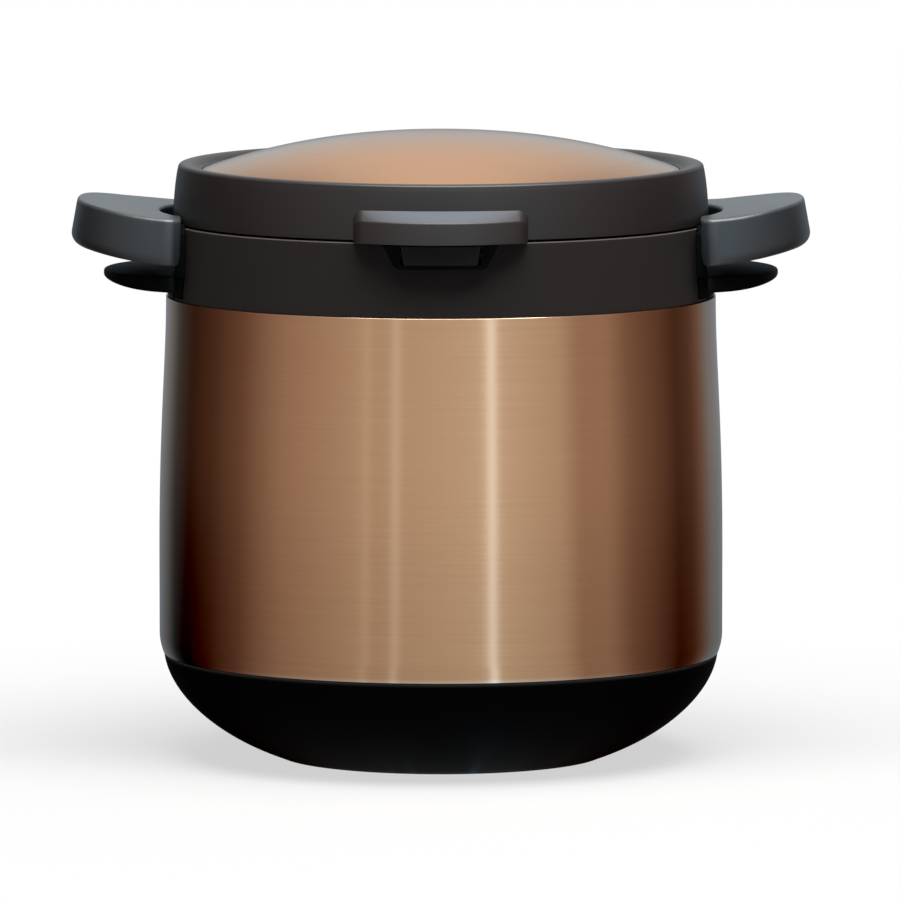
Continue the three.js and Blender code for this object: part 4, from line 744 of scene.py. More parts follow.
fade = share_of(tree, far, SHADOW_REACH, WHITE_BEYOND, "SMOOTHSTEP")
to_white = maths(tree, "MULTIPLY", fade, rays["Is Camera Ray"])
bare = node_in(tree, "ShaderNodeEmission").outputs[0]
feed(tree, tree.nodes["Material Output"], {"Surface": shader_blend(tree, to_white, to_metal, bare)})
floor.data.materials.append(sweep)
floor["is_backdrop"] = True
print("floor:", 2 * FLOOR_RADIUS, "m wide")

# %% [markdown]
# ## The base cup and its pad
# The cooker stands in a moulded black cup that curves in to a smaller foot, so that it seems to
# float a little. The curve is one cubic Bezier, as a designer would draw it. Its rim ends in a thin
# rounded lip, which catches the bright line under the steel; a pale grey on its sharp edges adds a
# painted highlight there. A rubber pad lies in its foot.

# %% Turn the cup
CUP_WALL = 3 * mm
PAD_RECESS = 1.9 * mm
LIP_EDGE = 0.9 * mm
FOOT_PULL, RIM_PULL = (0.821, 0.229), (0.979, 0.604)  # shares of the cup's radius and height
pad_r, pad_z = high("foot_pad").x, high("foot_pad").z
foot_r, foot_z = pad_r + PAD_RECESS, low("base_cup").z


def cup_curve(wall, steps):
    start, end = (foot_r, foot_z + wall), (cup_r - wall, seam_z - LIP_EDGE)
    from_foot = (cup_r * FOOT_PULL[0] - wall / 2, seam_z * FOOT_PULL[1] + wall)
    to_rim = (cup_r * RIM_PULL[0] - wall, seam_z * RIM_PULL[1] + wall / 2)
    return curve([start, from_foot, to_rim, end], steps)


cup_outline = [
    (0, pad_z), (pad_r + fit, pad_z), (pad_r + fit, foot_z, LIGHT),
    *cup_curve(0, 40),
    (cup_r, seam_z, LIP_EDGE), (cup_r - CUP_WALL, seam_z, LIP_EDGE),
    *cup_curve(CUP_WALL, 24)[::-1],
    (0, foot_z + CUP_WALL),
]
keep(turned("base_cup_moulding", cup_outline, 256), "body", "black_plastic", base_black, "base_cup")

# %% Turn the pad, with rings that grip the table
PAD_RINGS = 9
RING_DEPTH = 0.5 * mm
GROOVE = 1.2 * mm
pad_outline = [(0, pad_z), (pad_r, pad_z, SOFT), (pad_r, 0, ROUND)]
for k in range(PAD_RINGS, 0, -1):
    r = k * pad_r / (PAD_RINGS + 1)
    pad_outline += [(r + GROOVE, 0), (r + GROOVE / 2, RING_DEPTH), (r - GROOVE / 2, RING_DEPTH)]
    pad_outline += [(r - GROOVE, 0)]
pad = turned("foot_pad_ringed", pad_outline + [(0, 0)], 96)
keep(pad, "body", "rubber", pad_rubber, "foot_pad")

# %% [markdown]
# ## The vacuum jacket
# The visible wall is thin steel, spun to shape, with a copper-toned coat over lines that a brushing
# wheel left round it. It draws in a little at the foot, where it tucks into the cup, and leans in
# gently towards the shoulder. The whole sheet is turned with its thickness, as a closed outline.

# %% Spin the wall
SHEET = 0.9 * mm
HEEL_DRAW = 1.8 * mm
HEEL_HEIGHT = 9.3 * mm
WAIST = 47 * mm
TOP_DRAW = 3.35 * mm
SHOULDER_ROUND = 0.85 * mm
TUCK_DRAW = 9 * mm
FOOT_DRAW = 17.2 * mm
WAIST_PULL, SHOULDER_PULL = 0.51, 0.25  # shares of the leaning part's height
neck_z = high("outer_shell").z
shell_low, shell_foot = low("outer_shell").z, seam_z + fit


def wall_curve(wall, bottom, top):
    r = steel_r - wall
    waist_z = seam_z + WAIST
    taper = top - waist_z
    heel = curve([(r - HEEL_DRAW, bottom), (r, bottom + HEEL_HEIGHT / 2), (r, bottom + HEEL_HEIGHT)], 8)
    pulls = [(r, waist_z + taper * WAIST_PULL), (r - TOP_DRAW, top - taper * SHOULDER_PULL)]
    return heel + curve([(r, waist_z), *pulls, (r - TOP_DRAW, top)], 24)


jacket_outline = [
    (steel_r - FOOT_DRAW, shell_low), (steel_r - TUCK_DRAW, shell_foot),
    *wall_curve(0, shell_foot, shoulder_z - SHOULDER_ROUND),
    (steel_r - TOP_DRAW, shoulder_z, SHOULDER_ROUND), (neck_r, shoulder_z), (neck_r, neck_z),
    (neck_r - SHEET, neck_z), (neck_r - SHEET, shoulder_z - SHEET),
    *wall_curve(SHEET, shell_foot + SHEET, shoulder_z - SHEET)[::-1],
    (steel_r - TUCK_DRAW - SHEET, shell_foot + SHEET), (steel_r - FOOT_DRAW - SHEET, shell_low),
]
keep(turned("copper_wall", jacket_outline, 256), "body", "copper_steel", copper_steel, "outer_shell")

# %% Turn the liner, with its rolled rim, and the seal that lies on it
LINER_CORNER = 12 * mm
LINER_SHEET = 0.8 * mm
liner_low, liner_top = low("inner_liner").z, high("inner_liner").z
liner_r = mouth_r + LINER_SHEET
liner_outline = [
    (0, liner_low), (liner_r, liner_low, LINER_CORNER),
    (liner_r, liner_top - LINER_SHEET), (neck_r, liner_top - LINER_SHEET),
    (neck_r, liner_top, SOFT), (mouth_r, liner_top, BROAD),
    (mouth_r, liner_low + LINER_SHEET, LINER_CORNER - LINER_SHEET), (0, liner_low + LINER_SHEET),
]
keep(turned("jacket_liner", liner_outline, soft=8), "body", "steel", liner_steel, "inner_liner")
seal_low, seal_top = low("mouth_seal").z, high("mouth_seal").z
seal_in = mouth_r + fit
seal_outline = [
    (seal_in, seal_low), (neck_r, seal_low), (neck_r, seal_top), (seal_in, seal_top, FINE)
]
keep(turned("rim_seal", seal_outline), "body", "silicone", seal_silicone, "mouth_seal")

# %% [markdown]
# ## The collar
# A dark moulded ring sits on the steel and carries everything that moves or is held: the ears, the
# latch and the hinge. It tapers slightly towards the lid. The latch sits in a pocket at the front
# and each ear in a flat recess at the side, both cut with a tool as in the mould.

# %% Turn the ring and cut its pocket and recesses
COLLAR_EDGE = 0.9 * mm
COLLAR_ROWS = 14
COLLAR_LEDGE = 0.2 * mm
COLLAR_INSET = 0.4 * mm
RECESS_HALF = 44 * mm
RECESS_SILL = 1 * mm
HOUSING_ROUND = 4 * mm
HOUSING_FOOT_HALF = 20.5 * mm
BEYOND = 3 * mm  # by which a tool stands out of what it cuts
SINK = 0.5 * mm  # by which a part that is joined on reaches into its neighbour
recess_x = low("grip_right").x - fit
collar_top_r, collar_in = lid_r + COLLAR_LEDGE, mouth_r + COLLAR_INSET
collar_outline = [
    (bore_r, shoulder_z), (collar_r, shoulder_z, SOFT),
    *curve([(collar_r, shoulder_z), (collar_top_r, collar_z)], COLLAR_ROWS)[1:-1],
    (collar_top_r, collar_z, COLLAR_EDGE), (collar_in, collar_z, COLLAR_EDGE),
    (collar_in, seal_top, FINE), (bore_r, seal_top),
]
collar = turned("collar_moulding", collar_outline, 640)
housing_low, housing_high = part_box("latch_housing")


def housing_half_width(z):
    """Half the latch housing's width at a height: it narrows downwards."""
    share = (z - housing_low.z) / (housing_high.z - housing_low.z)
    return HOUSING_FOOT_HALF + (housing_high.x - HOUSING_FOOT_HALF) * share


pocket_foot, pocket_lip = housing_low.z - fit, collar_z + BEYOND
foot_half, lip_half = (housing_half_width(z) + fit for z in (pocket_foot, pocket_lip))
pocket_outline = softened([
    (-foot_half, pocket_foot, HOUSING_ROUND), (foot_half, pocket_foot, HOUSING_ROUND),
    (lip_half, pocket_lip), (-lip_half, pocket_lip),
])
pocket_ends = (-collar_r - BEYOND, housing_high.y + fit)
tools = [skinned("pocket_tool", [[(x, y, z) for x, z in pocket_outline] for y in pocket_ends])]
for side in (-1, 1):
    near_x, far_x = side * recess_x, side * (collar_r + BEYOND)
    plan = ((near_x, -RECESS_HALF), (far_x, -RECESS_HALF), (far_x, RECESS_HALF), (near_x, RECESS_HALF))
    levels = (shoulder_z + RECESS_SILL, collar_z + BEYOND)
    tools.append(skinned("recess_tool", [[(x, y, z) for x, y in plan] for z in levels]))
keep(carved(collar, tools), "body", "collar_plastic", collar_brown, "collar")

# %% [markdown]
# ## The ear grips
# Two broad ears in slate-grey plastic lift the cooker. Seen from above each is a rounded D with a
# lens-shaped slot for the fingers next to the collar, and it tilts up towards its tip. The outline
# is drawn in the ear's own plane and stacked in layers that round its edges, then tilted as a whole.

# %% Draw the ear's outline
EAR_TILT = math.radians(10.3)
EAR_THICK = 20 * mm
EAR_LENGTH = 49 * mm
EAR_HALF = 60 * mm
EAR_BULGE = 16 * mm
EAR_POWER = 2.6
EAR_CORNER = 5.4 * mm
EAR_LOW_ROUND = 5 * mm
EAR_TOP_ROUND = 1.8 * mm
EAR_STANDS_IN = 1.7 * mm
SLOT_DEPTH = 8.6 * mm
SLOT_HALF = 35 * mm


def ear_outline():
    """The ear seen square on: u runs out from the collar, v along it."""
    level = math.cos(EAR_TILT)
    tip = (EAR_LENGTH - (EAR_THICK - EAR_LOW_ROUND) * math.sin(EAR_TILT)) / level
    centre = -EAR_BULGE / level
    reach = tip - centre
    corner_u = EAR_CORNER - EAR_STANDS_IN
    corner_share = (corner_u - centre) / reach
    corner_v = EAR_HALF * (1 - corner_share**EAR_POWER) ** (1 / EAR_POWER) - EAR_CORNER
    half = [(-EAR_STANDS_IN, SLOT_HALF)]
    for a in quarter(12):
        half.append((corner_u - EAR_CORNER * math.cos(a), corner_v + EAR_CORNER * math.sin(a)))
    start = math.acos(corner_share ** (EAR_POWER / 2))
    for k in range(1, 48):
        a = start * (1 - k / 48)
        u = centre + reach * math.cos(a) ** (2 / EAR_POWER)
        half.append((u, EAR_HALF * math.sin(a) ** (2 / EAR_POWER)))
    bend = (SLOT_DEPTH**2 + SLOT_HALF**2) / (2 * SLOT_DEPTH)
    turns = [math.asin(SLOT_HALF / bend) * (2 * k / 32 - 1) for k in range(1, 32)]
    slot = [(SLOT_DEPTH - bend * (1 - math.cos(a)), bend * math.sin(a)) for a in turns]
    other = [(u, -v) for u, v in half][::-1]
    return (half + [(tip, 0)] + other + slot)[::-1]


print("ear outline:", len(ear_outline()), "points")

# %% Raise the ears and tilt them
EAR_ROOT_SHARE = 0.3
END_BLEND = 9 * mm
ROOT_REACH = 25 * mm
ROOT_RISE = 1.9 * mm
ROOT_DEPTH_LOSS = 0.75
TIP_DEPTH = 0.9 * mm
EAR_STAND_OFF = 4 * mm
EAR_OVER_COLLAR = 3.6 * mm
EAR_ROUND_STEPS = 6
FOOT_AT, FOOT_HALF = 39.5 * mm, 4 * mm
FOOT_GAP, FOOT_OUT = 0.02 * mm, 0.7 * mm
FOOT_SINK, FOOT_BELOW_TOP = 0.9 * mm, 5.6 * mm
ear_root, ear_top = recess_x + EAR_STAND_OFF, collar_z + EAR_OVER_COLLAR
foot_low, foot_high = high("guard_right").z - FOOT_SINK, ear_top - FOOT_BELOW_TOP


def less_inwards(amount):
    """The lower edge is rounded fully at the tip and only a little near the collar."""

    def here(point):
        out = min(1.0, max(0.0, point[0] / EAR_LENGTH))
        return amount * (EAR_ROOT_SHARE + (1 - EAR_ROOT_SHARE) * out**2)

    return here


def eased(point):
    """Keeps the end faces upright, levels the top near the collar and deepens the tip."""
    close = max(0.0, 1 - (point.x + EAR_STANDS_IN) / END_BLEND)
    root = max(0.0, 1 - point.x / ROOT_REACH) ** 2
    depth = -point.z / EAR_THICK
    rise = ROOT_RISE * root * (1 - ROOT_DEPTH_LOSS * depth) - TIP_DEPTH * depth * max(0.0, 1 - root)
    return point + Vector((point.z * math.tan(EAR_TILT) * close, 0, rise))


tilt = Matrix.Translation((ear_root, 0, ear_top)) @ Matrix.Rotation(-EAR_TILT, 4, "Y")
both_sides = (("right", Matrix.Identity(4)), ("left", Matrix.Rotation(math.pi, 4, "Z")))
layers = rounded_layers(-EAR_THICK, 0, EAR_LOW_ROUND, EAR_TOP_ROUND, EAR_ROUND_STEPS)
lower = [(less_inwards(draw), height) for draw, height in layers[: EAR_ROUND_STEPS + 1]]
for side, flip in both_sides:
    ear = slab("ear_" + side, ear_outline(), lower + layers[EAR_ROUND_STEPS + 1 :], eased)
    placed(placed(ear, tilt), flip)
    keep(ear, "body", "grip_plastic", grip_slate, "grip_" + side)
    feet = [
        box_piece(
            "ear_feet_" + side,
            (recess_x + FOOT_GAP, y - FOOT_HALF, foot_low),
            (ear_root + FOOT_OUT, y + FOOT_HALF, foot_high),
            FINE,
        )
        for y in (-FOOT_AT, FOOT_AT)
    ]
    keep(placed(joined(*feet), flip), "body", "black_plastic", guard_black)

# %% [markdown]
# ## The guards
# Under each ear a black plate keeps the fingers off the steel. Its top is flat and its underside
# slopes up to a thin lip. The lower layers of the slab follow that slope.

# %% Build both guards
GUARD_ROOT = 7.1 * mm
GUARD_TIP = 3.6 * mm
GUARD_EDGE = 1.2 * mm
GUARD_STAND_OFF = 5 * mm
GUARD_BULGE = 16.5 * mm
GUARD_HALF = 58 * mm
GUARD_TONGUE_HALF = 39 * mm
guard_top, guard_reach = high("guard_right").z, high("guard_right").x
guard_root = recess_x + GUARD_STAND_OFF


def guard_under(inset_share):
    """Height of the underside at a distance from the axis, drawn in by the rounding."""

    def height(x):
        share = max(0.0, (x - guard_root) / (guard_reach - guard_root))
        slope = guard_top - GUARD_ROOT + (GUARD_ROOT - GUARD_TIP) * share**3
        return slope + GUARD_EDGE * inset_share

    return height


reach = guard_reach - guard_root + GUARD_BULGE
start = math.acos(GUARD_BULGE / reach)
turns = [start * (2 * k / 64 - 1) for k in range(65)]
guard_outline = [(guard_reach - reach * (1 - math.cos(a)), GUARD_HALF * math.sin(a)) for a in turns]
layers = [(GUARD_EDGE * (1 - math.sin(a)), guard_under(1 - math.cos(a))) for a in quarter(5)]
layers += rounded_layers(0, guard_top, 0, GUARD_EDGE)[6:]
for side, flip in both_sides:
    plate = slab("guard_plate_" + side, guard_outline, layers)
    tongue = box_piece(
        "guard_tongue",
        (recess_x + fit, -GUARD_TONGUE_HALF, low("guard_right").z),
        (guard_root + GUARD_EDGE, GUARD_TONGUE_HALF, guard_top - GUARD_EDGE),
        SOFT,
    )
    placed(joined(plate, tongue), flip)
    keep(plate, "body", "gloss_black", guard_black, "guard_" + side)

# %% [markdown]
# ## The latch
# Below the lift tab a black surround holds the release button. Pressing the button slides a bar
# inwards, off the hook under the tab, and two coil springs push it back out. The surround and the
# button both follow the round of the collar, so they are skinned in upright slices from left to
# right: every slice has the same corners, and the front ones follow a circle.

# %% Skin the surround and hollow it
FRONT_EDGE = 0.7 * mm
BACK_EDGE = 0.1 * mm
LEAST_HEIGHT = 0.3 * mm
FLAT_STEPS = 16
BUTTON_HALF = 18 * mm
TONGUE_FROM, TONGUE_TO, GROOVE_TO = 5 * mm, 13 * mm, 15.3 * mm
TONGUE_HALF, GROOVE_HALF = 1 * mm, 1.3 * mm
button_low, button_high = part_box("release_button")
spring_low, spring_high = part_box("button_spring_right")
spring_mid = (button_low.z + button_high.z) / 2


def latch_slices(half_top, half_foot, corner, foot_z, top_z, front_r, back_y):
    """Slices of a plate that narrows downwards and whose front follows a circle."""
    side = softened([(0, foot_z), (half_foot, foot_z, corner), (half_top, top_z), (0, top_z)], 8)[1:-1]
    half = [(side[0][0] * k / FLAT_STEPS, foot_z) for k in range(FLAT_STEPS)] + side
    slices = []
    for x, floor_z in [(-x, z) for x, z in half[:0:-1]] + half:
        floor_z = min(floor_z, top_z - LEAST_HEIGHT)
        front_y = -math.sqrt(front_r**2 - x**2)
        loop = softened([
            (front_y, floor_z, FRONT_EDGE), (back_y, floor_z, BACK_EDGE),
            (back_y, top_z, BACK_EDGE), (front_y, top_z, FRONT_EDGE),
        ])
        slices.append([(x, y, z) for y, z in loop])
    return slices


surround = skinned("latch_surround", latch_slices(
    housing_high.x, HOUSING_FOOT_HALF, HOUSING_ROUND,
    housing_low.z, housing_high.z, -housing_low.y, housing_high.y,
))
cavity = box_piece(
    "cavity_tool",
    (-BUTTON_HALF - fit, -steel_r - BEYOND, button_low.z - fit),
    (BUTTON_HALF + fit, spring_high.y + fit, collar_z + BEYOND),
    CRISP,
)
groove = box_piece(
    "groove_tool",
    (button_low.x - fit, button_low.y + TONGUE_FROM - fit, spring_mid - GROOVE_HALF),
    (button_high.x + fit, button_low.y + GROOVE_TO, spring_mid + GROOVE_HALF),
    HAIR,
)
keep(carved(surround, [cavity, groove]), "body", "black_plastic", latch_black, "latch_housing")

# %% Skin the button, open it behind its front wall, and give it its tongues
BAR_FRONT = -121.6 * mm
BAR_HEIGHT = 3.9 * mm
BUTTON_WALL = 3 * mm
BUTTON_DRAW = 1.2 * mm
RAIL = 7 * mm
BORE_END = -110 * mm
BORE_R = 2.5 * mm
front_wall = button_low.y + BUTTON_WALL
bar_low = button_high.z - BAR_HEIGHT
spring_x = (spring_low.x + spring_high.x) / 2
button = skinned("latch_button", latch_slices(
    BUTTON_HALF, BUTTON_HALF - BUTTON_DRAW, BUTTON_DRAW,
    button_low.z, button_high.z, -button_low.y, button_high.y,
))
tools = [
    box_piece(
        "window_tool",
        (RAIL - BUTTON_HALF, front_wall, button_low.z - BEYOND), (BUTTON_HALF - RAIL, end_y, end_z),
        FINE,
    )
    for end_y, end_z in ((BAR_FRONT, collar_z + BEYOND), (button_high.y + BEYOND, bar_low))
]
tongues = []
for s in (-1, 1):
    ends = [(s * spring_x, y, spring_mid) for y in (front_wall + fit, BORE_END)]
    tools.append(wire("bore_tool", ends, BORE_R, 24))
    from_x, to_x = sorted((s * (BUTTON_HALF - SINK), s * button_high.x))
    tongues.append(box_piece(
        "tongue",
        (from_x, button_low.y + TONGUE_FROM, spring_mid - TONGUE_HALF),
        (to_x, button_low.y + TONGUE_TO, spring_mid + TONGUE_HALF),
        CRISP,
    ))
joined(carved(button, tools), *tongues)
keep(button, "button", "black_plastic", button_black, "release_button")

# %% Wind the two springs
SPRING_TURNS = 6
SPRING_STEPS = 20
WIRE_R = 0.35 * mm
coil_r = (spring_high.x - spring_low.x) / 2 - WIRE_R
length = spring_high.y - spring_low.y
for side, sign in (("right", 1), ("left", -1)):
    path = []
    for k in range(SPRING_TURNS * SPRING_STEPS + 1):
        a = 2 * math.pi * k / SPRING_STEPS
        share = k / (SPRING_TURNS * SPRING_STEPS)
        wound = share - math.sin(4 * math.pi * share) * 0.02
        y = spring_low.y + WIRE_R + (length - 2 * WIRE_R) * wound
        path.append((sign * spring_x + coil_r * math.cos(a), y, spring_mid + coil_r * math.sin(a)))
    coil = wire("coil_spring_" + side, path, WIRE_R, 8)
    keep(coil, "body", "steel", screw_steel, "button_spring_" + side)
    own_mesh(coil)

# %% [markdown]
# ## The lid ring and the dome
# The lid is a moulded ring with a copper-toned steel dome let into it. The ring's wall leans in a
# little, rolls over a crest and falls to the dome's edge. Its crest is lower at the front than at
# the back, which shows more of the dome, so the lathe's points are lowered there by their direction.

# %% Turn the ring with its dipped crest
RING_WALL = 3 * mm
RING_FOOT = 2 * mm
CREST_STAND = 4.8 * mm
CREST_DIP = 2.6 * mm
BACK_DIP = 1.6 * mm
CREST_DRAW = 5.4 * mm
LEDGE_DROP = 1 * mm
LEDGE = 4 * mm
RING_PULLS = ((0.0016, 0.42), (0.0089, 0.68), (0.0178, 0.88))  # shares of the radius and height
LEAF_BOSS_HALF = 15 * mm
LEAF_BOSS_DEPTH = 6 * mm
LEAF_SCREW_RISE = 12 * mm
PILLAR_AT, PILLAR_R = 81.3 * mm, 4 * mm
PILLAR_LOW, PILLAR_TOP = 252 * mm, 269 * mm
dome_edge_z, dome_top_z = crest_z - CREST_STAND, high("lid_dome").z
crest_r, seat_r = lid_r - CREST_DRAW, dome_r + fit
ledge_z = dome_edge_z - LEDGE_DROP - fit


def dipped(point):
    """Lowers what stands above the dome's edge, and more so towards the front."""
    above = max(0.0, point.z - dome_edge_z) / CREST_STAND
    facing = max(0.0, -point.y / max(math.hypot(point.x, point.y), WELD))
    return point - Vector((0, 0, (BACK_DIP + (CREST_DIP - BACK_DIP) * facing**2) * above))


wall = [(lid_r * (1 - draw), lid_z + (crest_z - lid_z) * rise) for draw, rise in RING_PULLS]
ring_outline = [
    (lid_r - RING_WALL, lid_z, LIGHT), (lid_r, lid_z, MILD),
    *curve([(lid_r, lid_z + RING_FOOT), *wall], 12),
    *curve([wall[2], (wall[2][0], crest_z), (crest_r, crest_z)], 10)[1:],
    *curve([(crest_r, crest_z), (crest_r - RING_WALL, crest_z), (seat_r, dome_edge_z + fit)], 10)[1:],
    (seat_r, ledge_z), (dome_r - LEDGE, ledge_z), (dome_r - LEDGE, ledge_z - RING_WALL),
    (lid_r - RING_WALL, ledge_z - RING_WALL),
]
ring = turned("lid_ring_moulding", ring_outline, 256, dipped)
boss_z = lid_z + LEAF_SCREW_RISE
bosses = [box_piece(
    "leaf_boss",
    (-LEAF_BOSS_HALF, lid_r - RING_WALL - LEAF_BOSS_DEPTH, boss_z - LEAF_BOSS_DEPTH),
    (LEAF_BOSS_HALF, lid_r - RING_WALL + SINK, boss_z + LEAF_BOSS_DEPTH),
    SOFT,
)]
pillar_outline = [
    (0, PILLAR_LOW), (PILLAR_R, PILLAR_LOW, LIGHT), (PILLAR_R, PILLAR_TOP), (0, PILLAR_TOP)
]
for sx in (-1, 1):
    for sy in (-1, 1):
        place = Matrix.Translation((sx * PILLAR_AT, sy * PILLAR_AT, 0))
        bosses.append(placed(turned("boss", pillar_outline, 32), place))
keep(joined(ring, *bosses), "lid", "lid_plastic", lid_brown, "lid_ring")

# %% Press the dome
DOME_SHEET = 1 * mm
DOME_FULLNESS = 2.2
dome_rise = dome_top_z - dome_edge_z


def dome_curve(wall, steps):
    radii = [dome_r * (1 - k / steps) for k in range(steps + 1)]
    return [(r, dome_top_z - wall - dome_rise * (r / dome_r) ** DOME_FULLNESS) for r in radii]


dome_outline = [
    (dome_r, dome_edge_z - DOME_SHEET, FINE), (dome_r, dome_edge_z, LIGHT),
    *dome_curve(0, 48)[1:],
    *dome_curve(DOME_SHEET, 24)[::-1],
]
dome = turned("copper_dome", dome_outline, 256)
keep(dome, "lid", "copper_steel", dome_steel, "lid_dome")

# The key lamp would burn out in the polished dome, so it lights everything but the dome.
spared = bpy.data.collections.new("spared_by_the_key")
spared.objects.link(dome)
spared.collection_objects[0].light_linking.link_state = "EXCLUDE"
key_lamp.light_linking.receiver_collection = spared
print("dome rises", round(dome_rise / mm, 1), "mm over", round(2 * dome_r / mm), "mm")

# %% [markdown]
# ## The lift tab
# A broad tab on the front of the lid is what the hand finds. It is skinned in slices like the
# latch: each slice runs from the lid out to a shallow bow, and the top falls to one level edge.

# %% Skin the tab
TAB_BOW = 15 * mm
TAB_CORNER = 4 * mm
TAB_EDGE = 1.2 * mm
TAB_SHOULDER = 4.6 * mm
TAB_FALL = 4.8 * mm
TAB_END = 0.2 * mm
TAB_FRONT_TOP, TAB_BACK_TOP, TAB_FOOT = 9.3 * mm, 13.6 * mm, 0.5 * mm
STEM_BACK, STEM = 4.2 * mm, 2.4 * mm
SEAT_DEPTH = 2 * mm
tab_low, tab_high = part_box("lift_tab")
hook_low, hook_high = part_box("catch_hook")
tab_reach, tab_half = -tab_low.y, tab_high.x
tab_foot_z = lid_z + TAB_FOOT
ring_r = lid_r + fit
bow = (tab_half**2 + TAB_BOW**2) / (2 * TAB_BOW)
corner_x = tab_half - TAB_CORNER


def bowed(x):
    return bow - tab_reach - math.sqrt(bow**2 - x**2)


half = [(corner_x * k / 48, bowed(corner_x * k / 48)) for k in range(48)]
tab_end = (tab_half, -math.sqrt(ring_r**2 - tab_half**2) - TAB_END)
half += curve([(corner_x, bowed(corner_x)), (tab_half, bowed(tab_half)), tab_end], 12)
slices = []
for x, front_y in [(-x, y) for x, y in half[:0:-1]] + half:
    back_y = -math.sqrt(ring_r**2 - x**2)
    out = max(0.0, abs(x) - (tab_half - TAB_SHOULDER)) / TAB_SHOULDER
    fall = TAB_FALL * (1 - math.sqrt(1 - out**2))
    loop = softened([
        (front_y, tab_low.z, ROUND), (back_y, tab_foot_z, HAIR),
        (back_y, lid_z + TAB_BACK_TOP - fall, HAIR), (front_y, lid_z + TAB_FRONT_TOP - fall, TAB_EDGE),
    ])
    slices.append([(x, y, z) for y, z in loop])
tab = skinned("lift_tab_moulding", slices)
hook_seat = box_piece(
    "hook_seat_tool",
    (hook_low.x - fit, hook_low.y - fit, tab_low.z - BEYOND),
    (hook_high.x + fit, hook_high.y - STEM_BACK + fit, tab_foot_z + SEAT_DEPTH),
    HAIR,
)
keep(carved(tab, [hook_seat]), "lid", "lid_plastic", tab_brown, "lift_tab")

# %% Cut the hook that the bar holds down
HOOK_EDGE = 0.3 * mm
NOSE = 0.8 * mm
EDGE_SHARE = 0.9
stem_back = hook_high.y - STEM_BACK
stem_front = stem_back - STEM
nose_top = bar_low - fit
hook_outline = softened([
    (hook_low.y, hook_high.z, FINE), (hook_low.y, tab_foot_z, FINE),
    (stem_front, tab_foot_z, SOFT), (stem_front, hook_low.z, MILD),
    (stem_back, hook_low.z, FINE), (hook_high.y, nose_top - NOSE, CRISP),
    (hook_high.y, nose_top, CRISP), (stem_back, nose_top, FINE),
    (stem_back, hook_high.z, CRISP),
])


def edged(outline, low_x, high_x, edge, draw, sign=1):
    """A plate from one x to another, with its rims drawn in over an edge."""
    places = ((draw, low_x), (0, low_x + edge), (0, high_x - edge), (draw, high_x))
    return [[(sign * x, p.x, p.y) for p in drawn_in(outline, inset)] for inset, x in places]


hook_loops = edged(hook_outline, hook_low.x, hook_high.x, HOOK_EDGE, HOOK_EDGE * EDGE_SHARE)
keep(skinned("catch_hook_piece", hook_loops), "lid", "black_plastic", latch_black, "catch_hook")

# %% [markdown]
# ## The hinge
# At the back a bracket on the collar and a leaf on the lid share one pin. Plates that lie against a
# turned piece get its round by cutting them with a drum, and the knuckles are turned on the pin.

# %% The bracket, cut to the collar and the lid
KNUCKLE_R = 4.5 * mm
PIN_R = 2 * mm
PIN_PLAY = 0.1 * mm
PAST = 1 * mm  # by which a bore's tool or a drum stands out of its plate
ARM_DROP = 1 * mm
BRACKET_PLATE, LEAF_PLATE = 4.4 * mm, 3.4 * mm
PLATE_FRONT = 100 * mm
BRACKET_DROP = 1.4 * mm
WEB, WEB_DROP = 3.5 * mm, 8 * mm
bracket_low, bracket_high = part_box("hinge_bracket")
leaf_low, leaf_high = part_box("hinge_leaf")
pin_low, pin_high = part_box("hinge_pin")
pin_y, pin_z = (pin_low.y + pin_high.y) / 2, (pin_low.z + pin_high.z) / 2
plate_back, leaf_back = collar_top_r + fit + BRACKET_PLATE, lid_r + fit + LEAF_PLATE
lay_along_x = Matrix.Translation((0, pin_y, pin_z)) @ Matrix.Rotation(math.pi / 2, 4, "Y")


def drum_tool(bottom):
    lid_bore = lid_r + fit
    return turned("drum_tool", [(0, bottom), (lid_bore, bottom), (lid_bore, crest_z), (0, crest_z)], 256)


def knuckle(start_x, end_x):
    inner_r = PIN_R + PIN_PLAY
    outline = [
        (inner_r, start_x), (KNUCKLE_R, start_x, LIGHT), (KNUCKLE_R, end_x, LIGHT), (inner_r, end_x)
    ]
    return placed(turned("knuckle", outline, 64), lay_along_x)


def pin_bore(start_x, end_x):
    ends = [(x, pin_y, pin_z) for x in (start_x - PAST, end_x + PAST)]
    return wire("bore_tool", ends, PIN_R + PIN_PLAY, 32)


plate = box_piece(
    "hinge_bracket_moulding",
    (bracket_low.x, PLATE_FRONT, bracket_low.z),
    (bracket_high.x, plate_back, collar_z - BRACKET_DROP),
    ROUND,
)
collar_bulk = [
    (0, shoulder_z - BEYOND), (collar_r + fit, shoulder_z),
    (collar_top_r + fit, collar_z), (0, collar_z + BEYOND),
]
carved(plate, [turned("collar_tool", collar_bulk, 256), drum_tool(lid_z - PAST)])
arms = []
for side in (-1, 1):
    from_x, to_x = sorted((side * (leaf_high.x + fit), side * bracket_high.x))
    arm = box_piece(
        "arm",
        (from_x, plate_back - WEB, collar_z - WEB_DROP), (to_x, pin_y + KNUCKLE_R / 2, pin_z - ARM_DROP),
        BROAD,
    )
    arms += [carved(arm, [pin_bore(from_x, to_x)]), knuckle(from_x, to_x)]
keep(joined(plate, *arms), "body", "collar_plastic", collar_brown, "hinge_bracket")

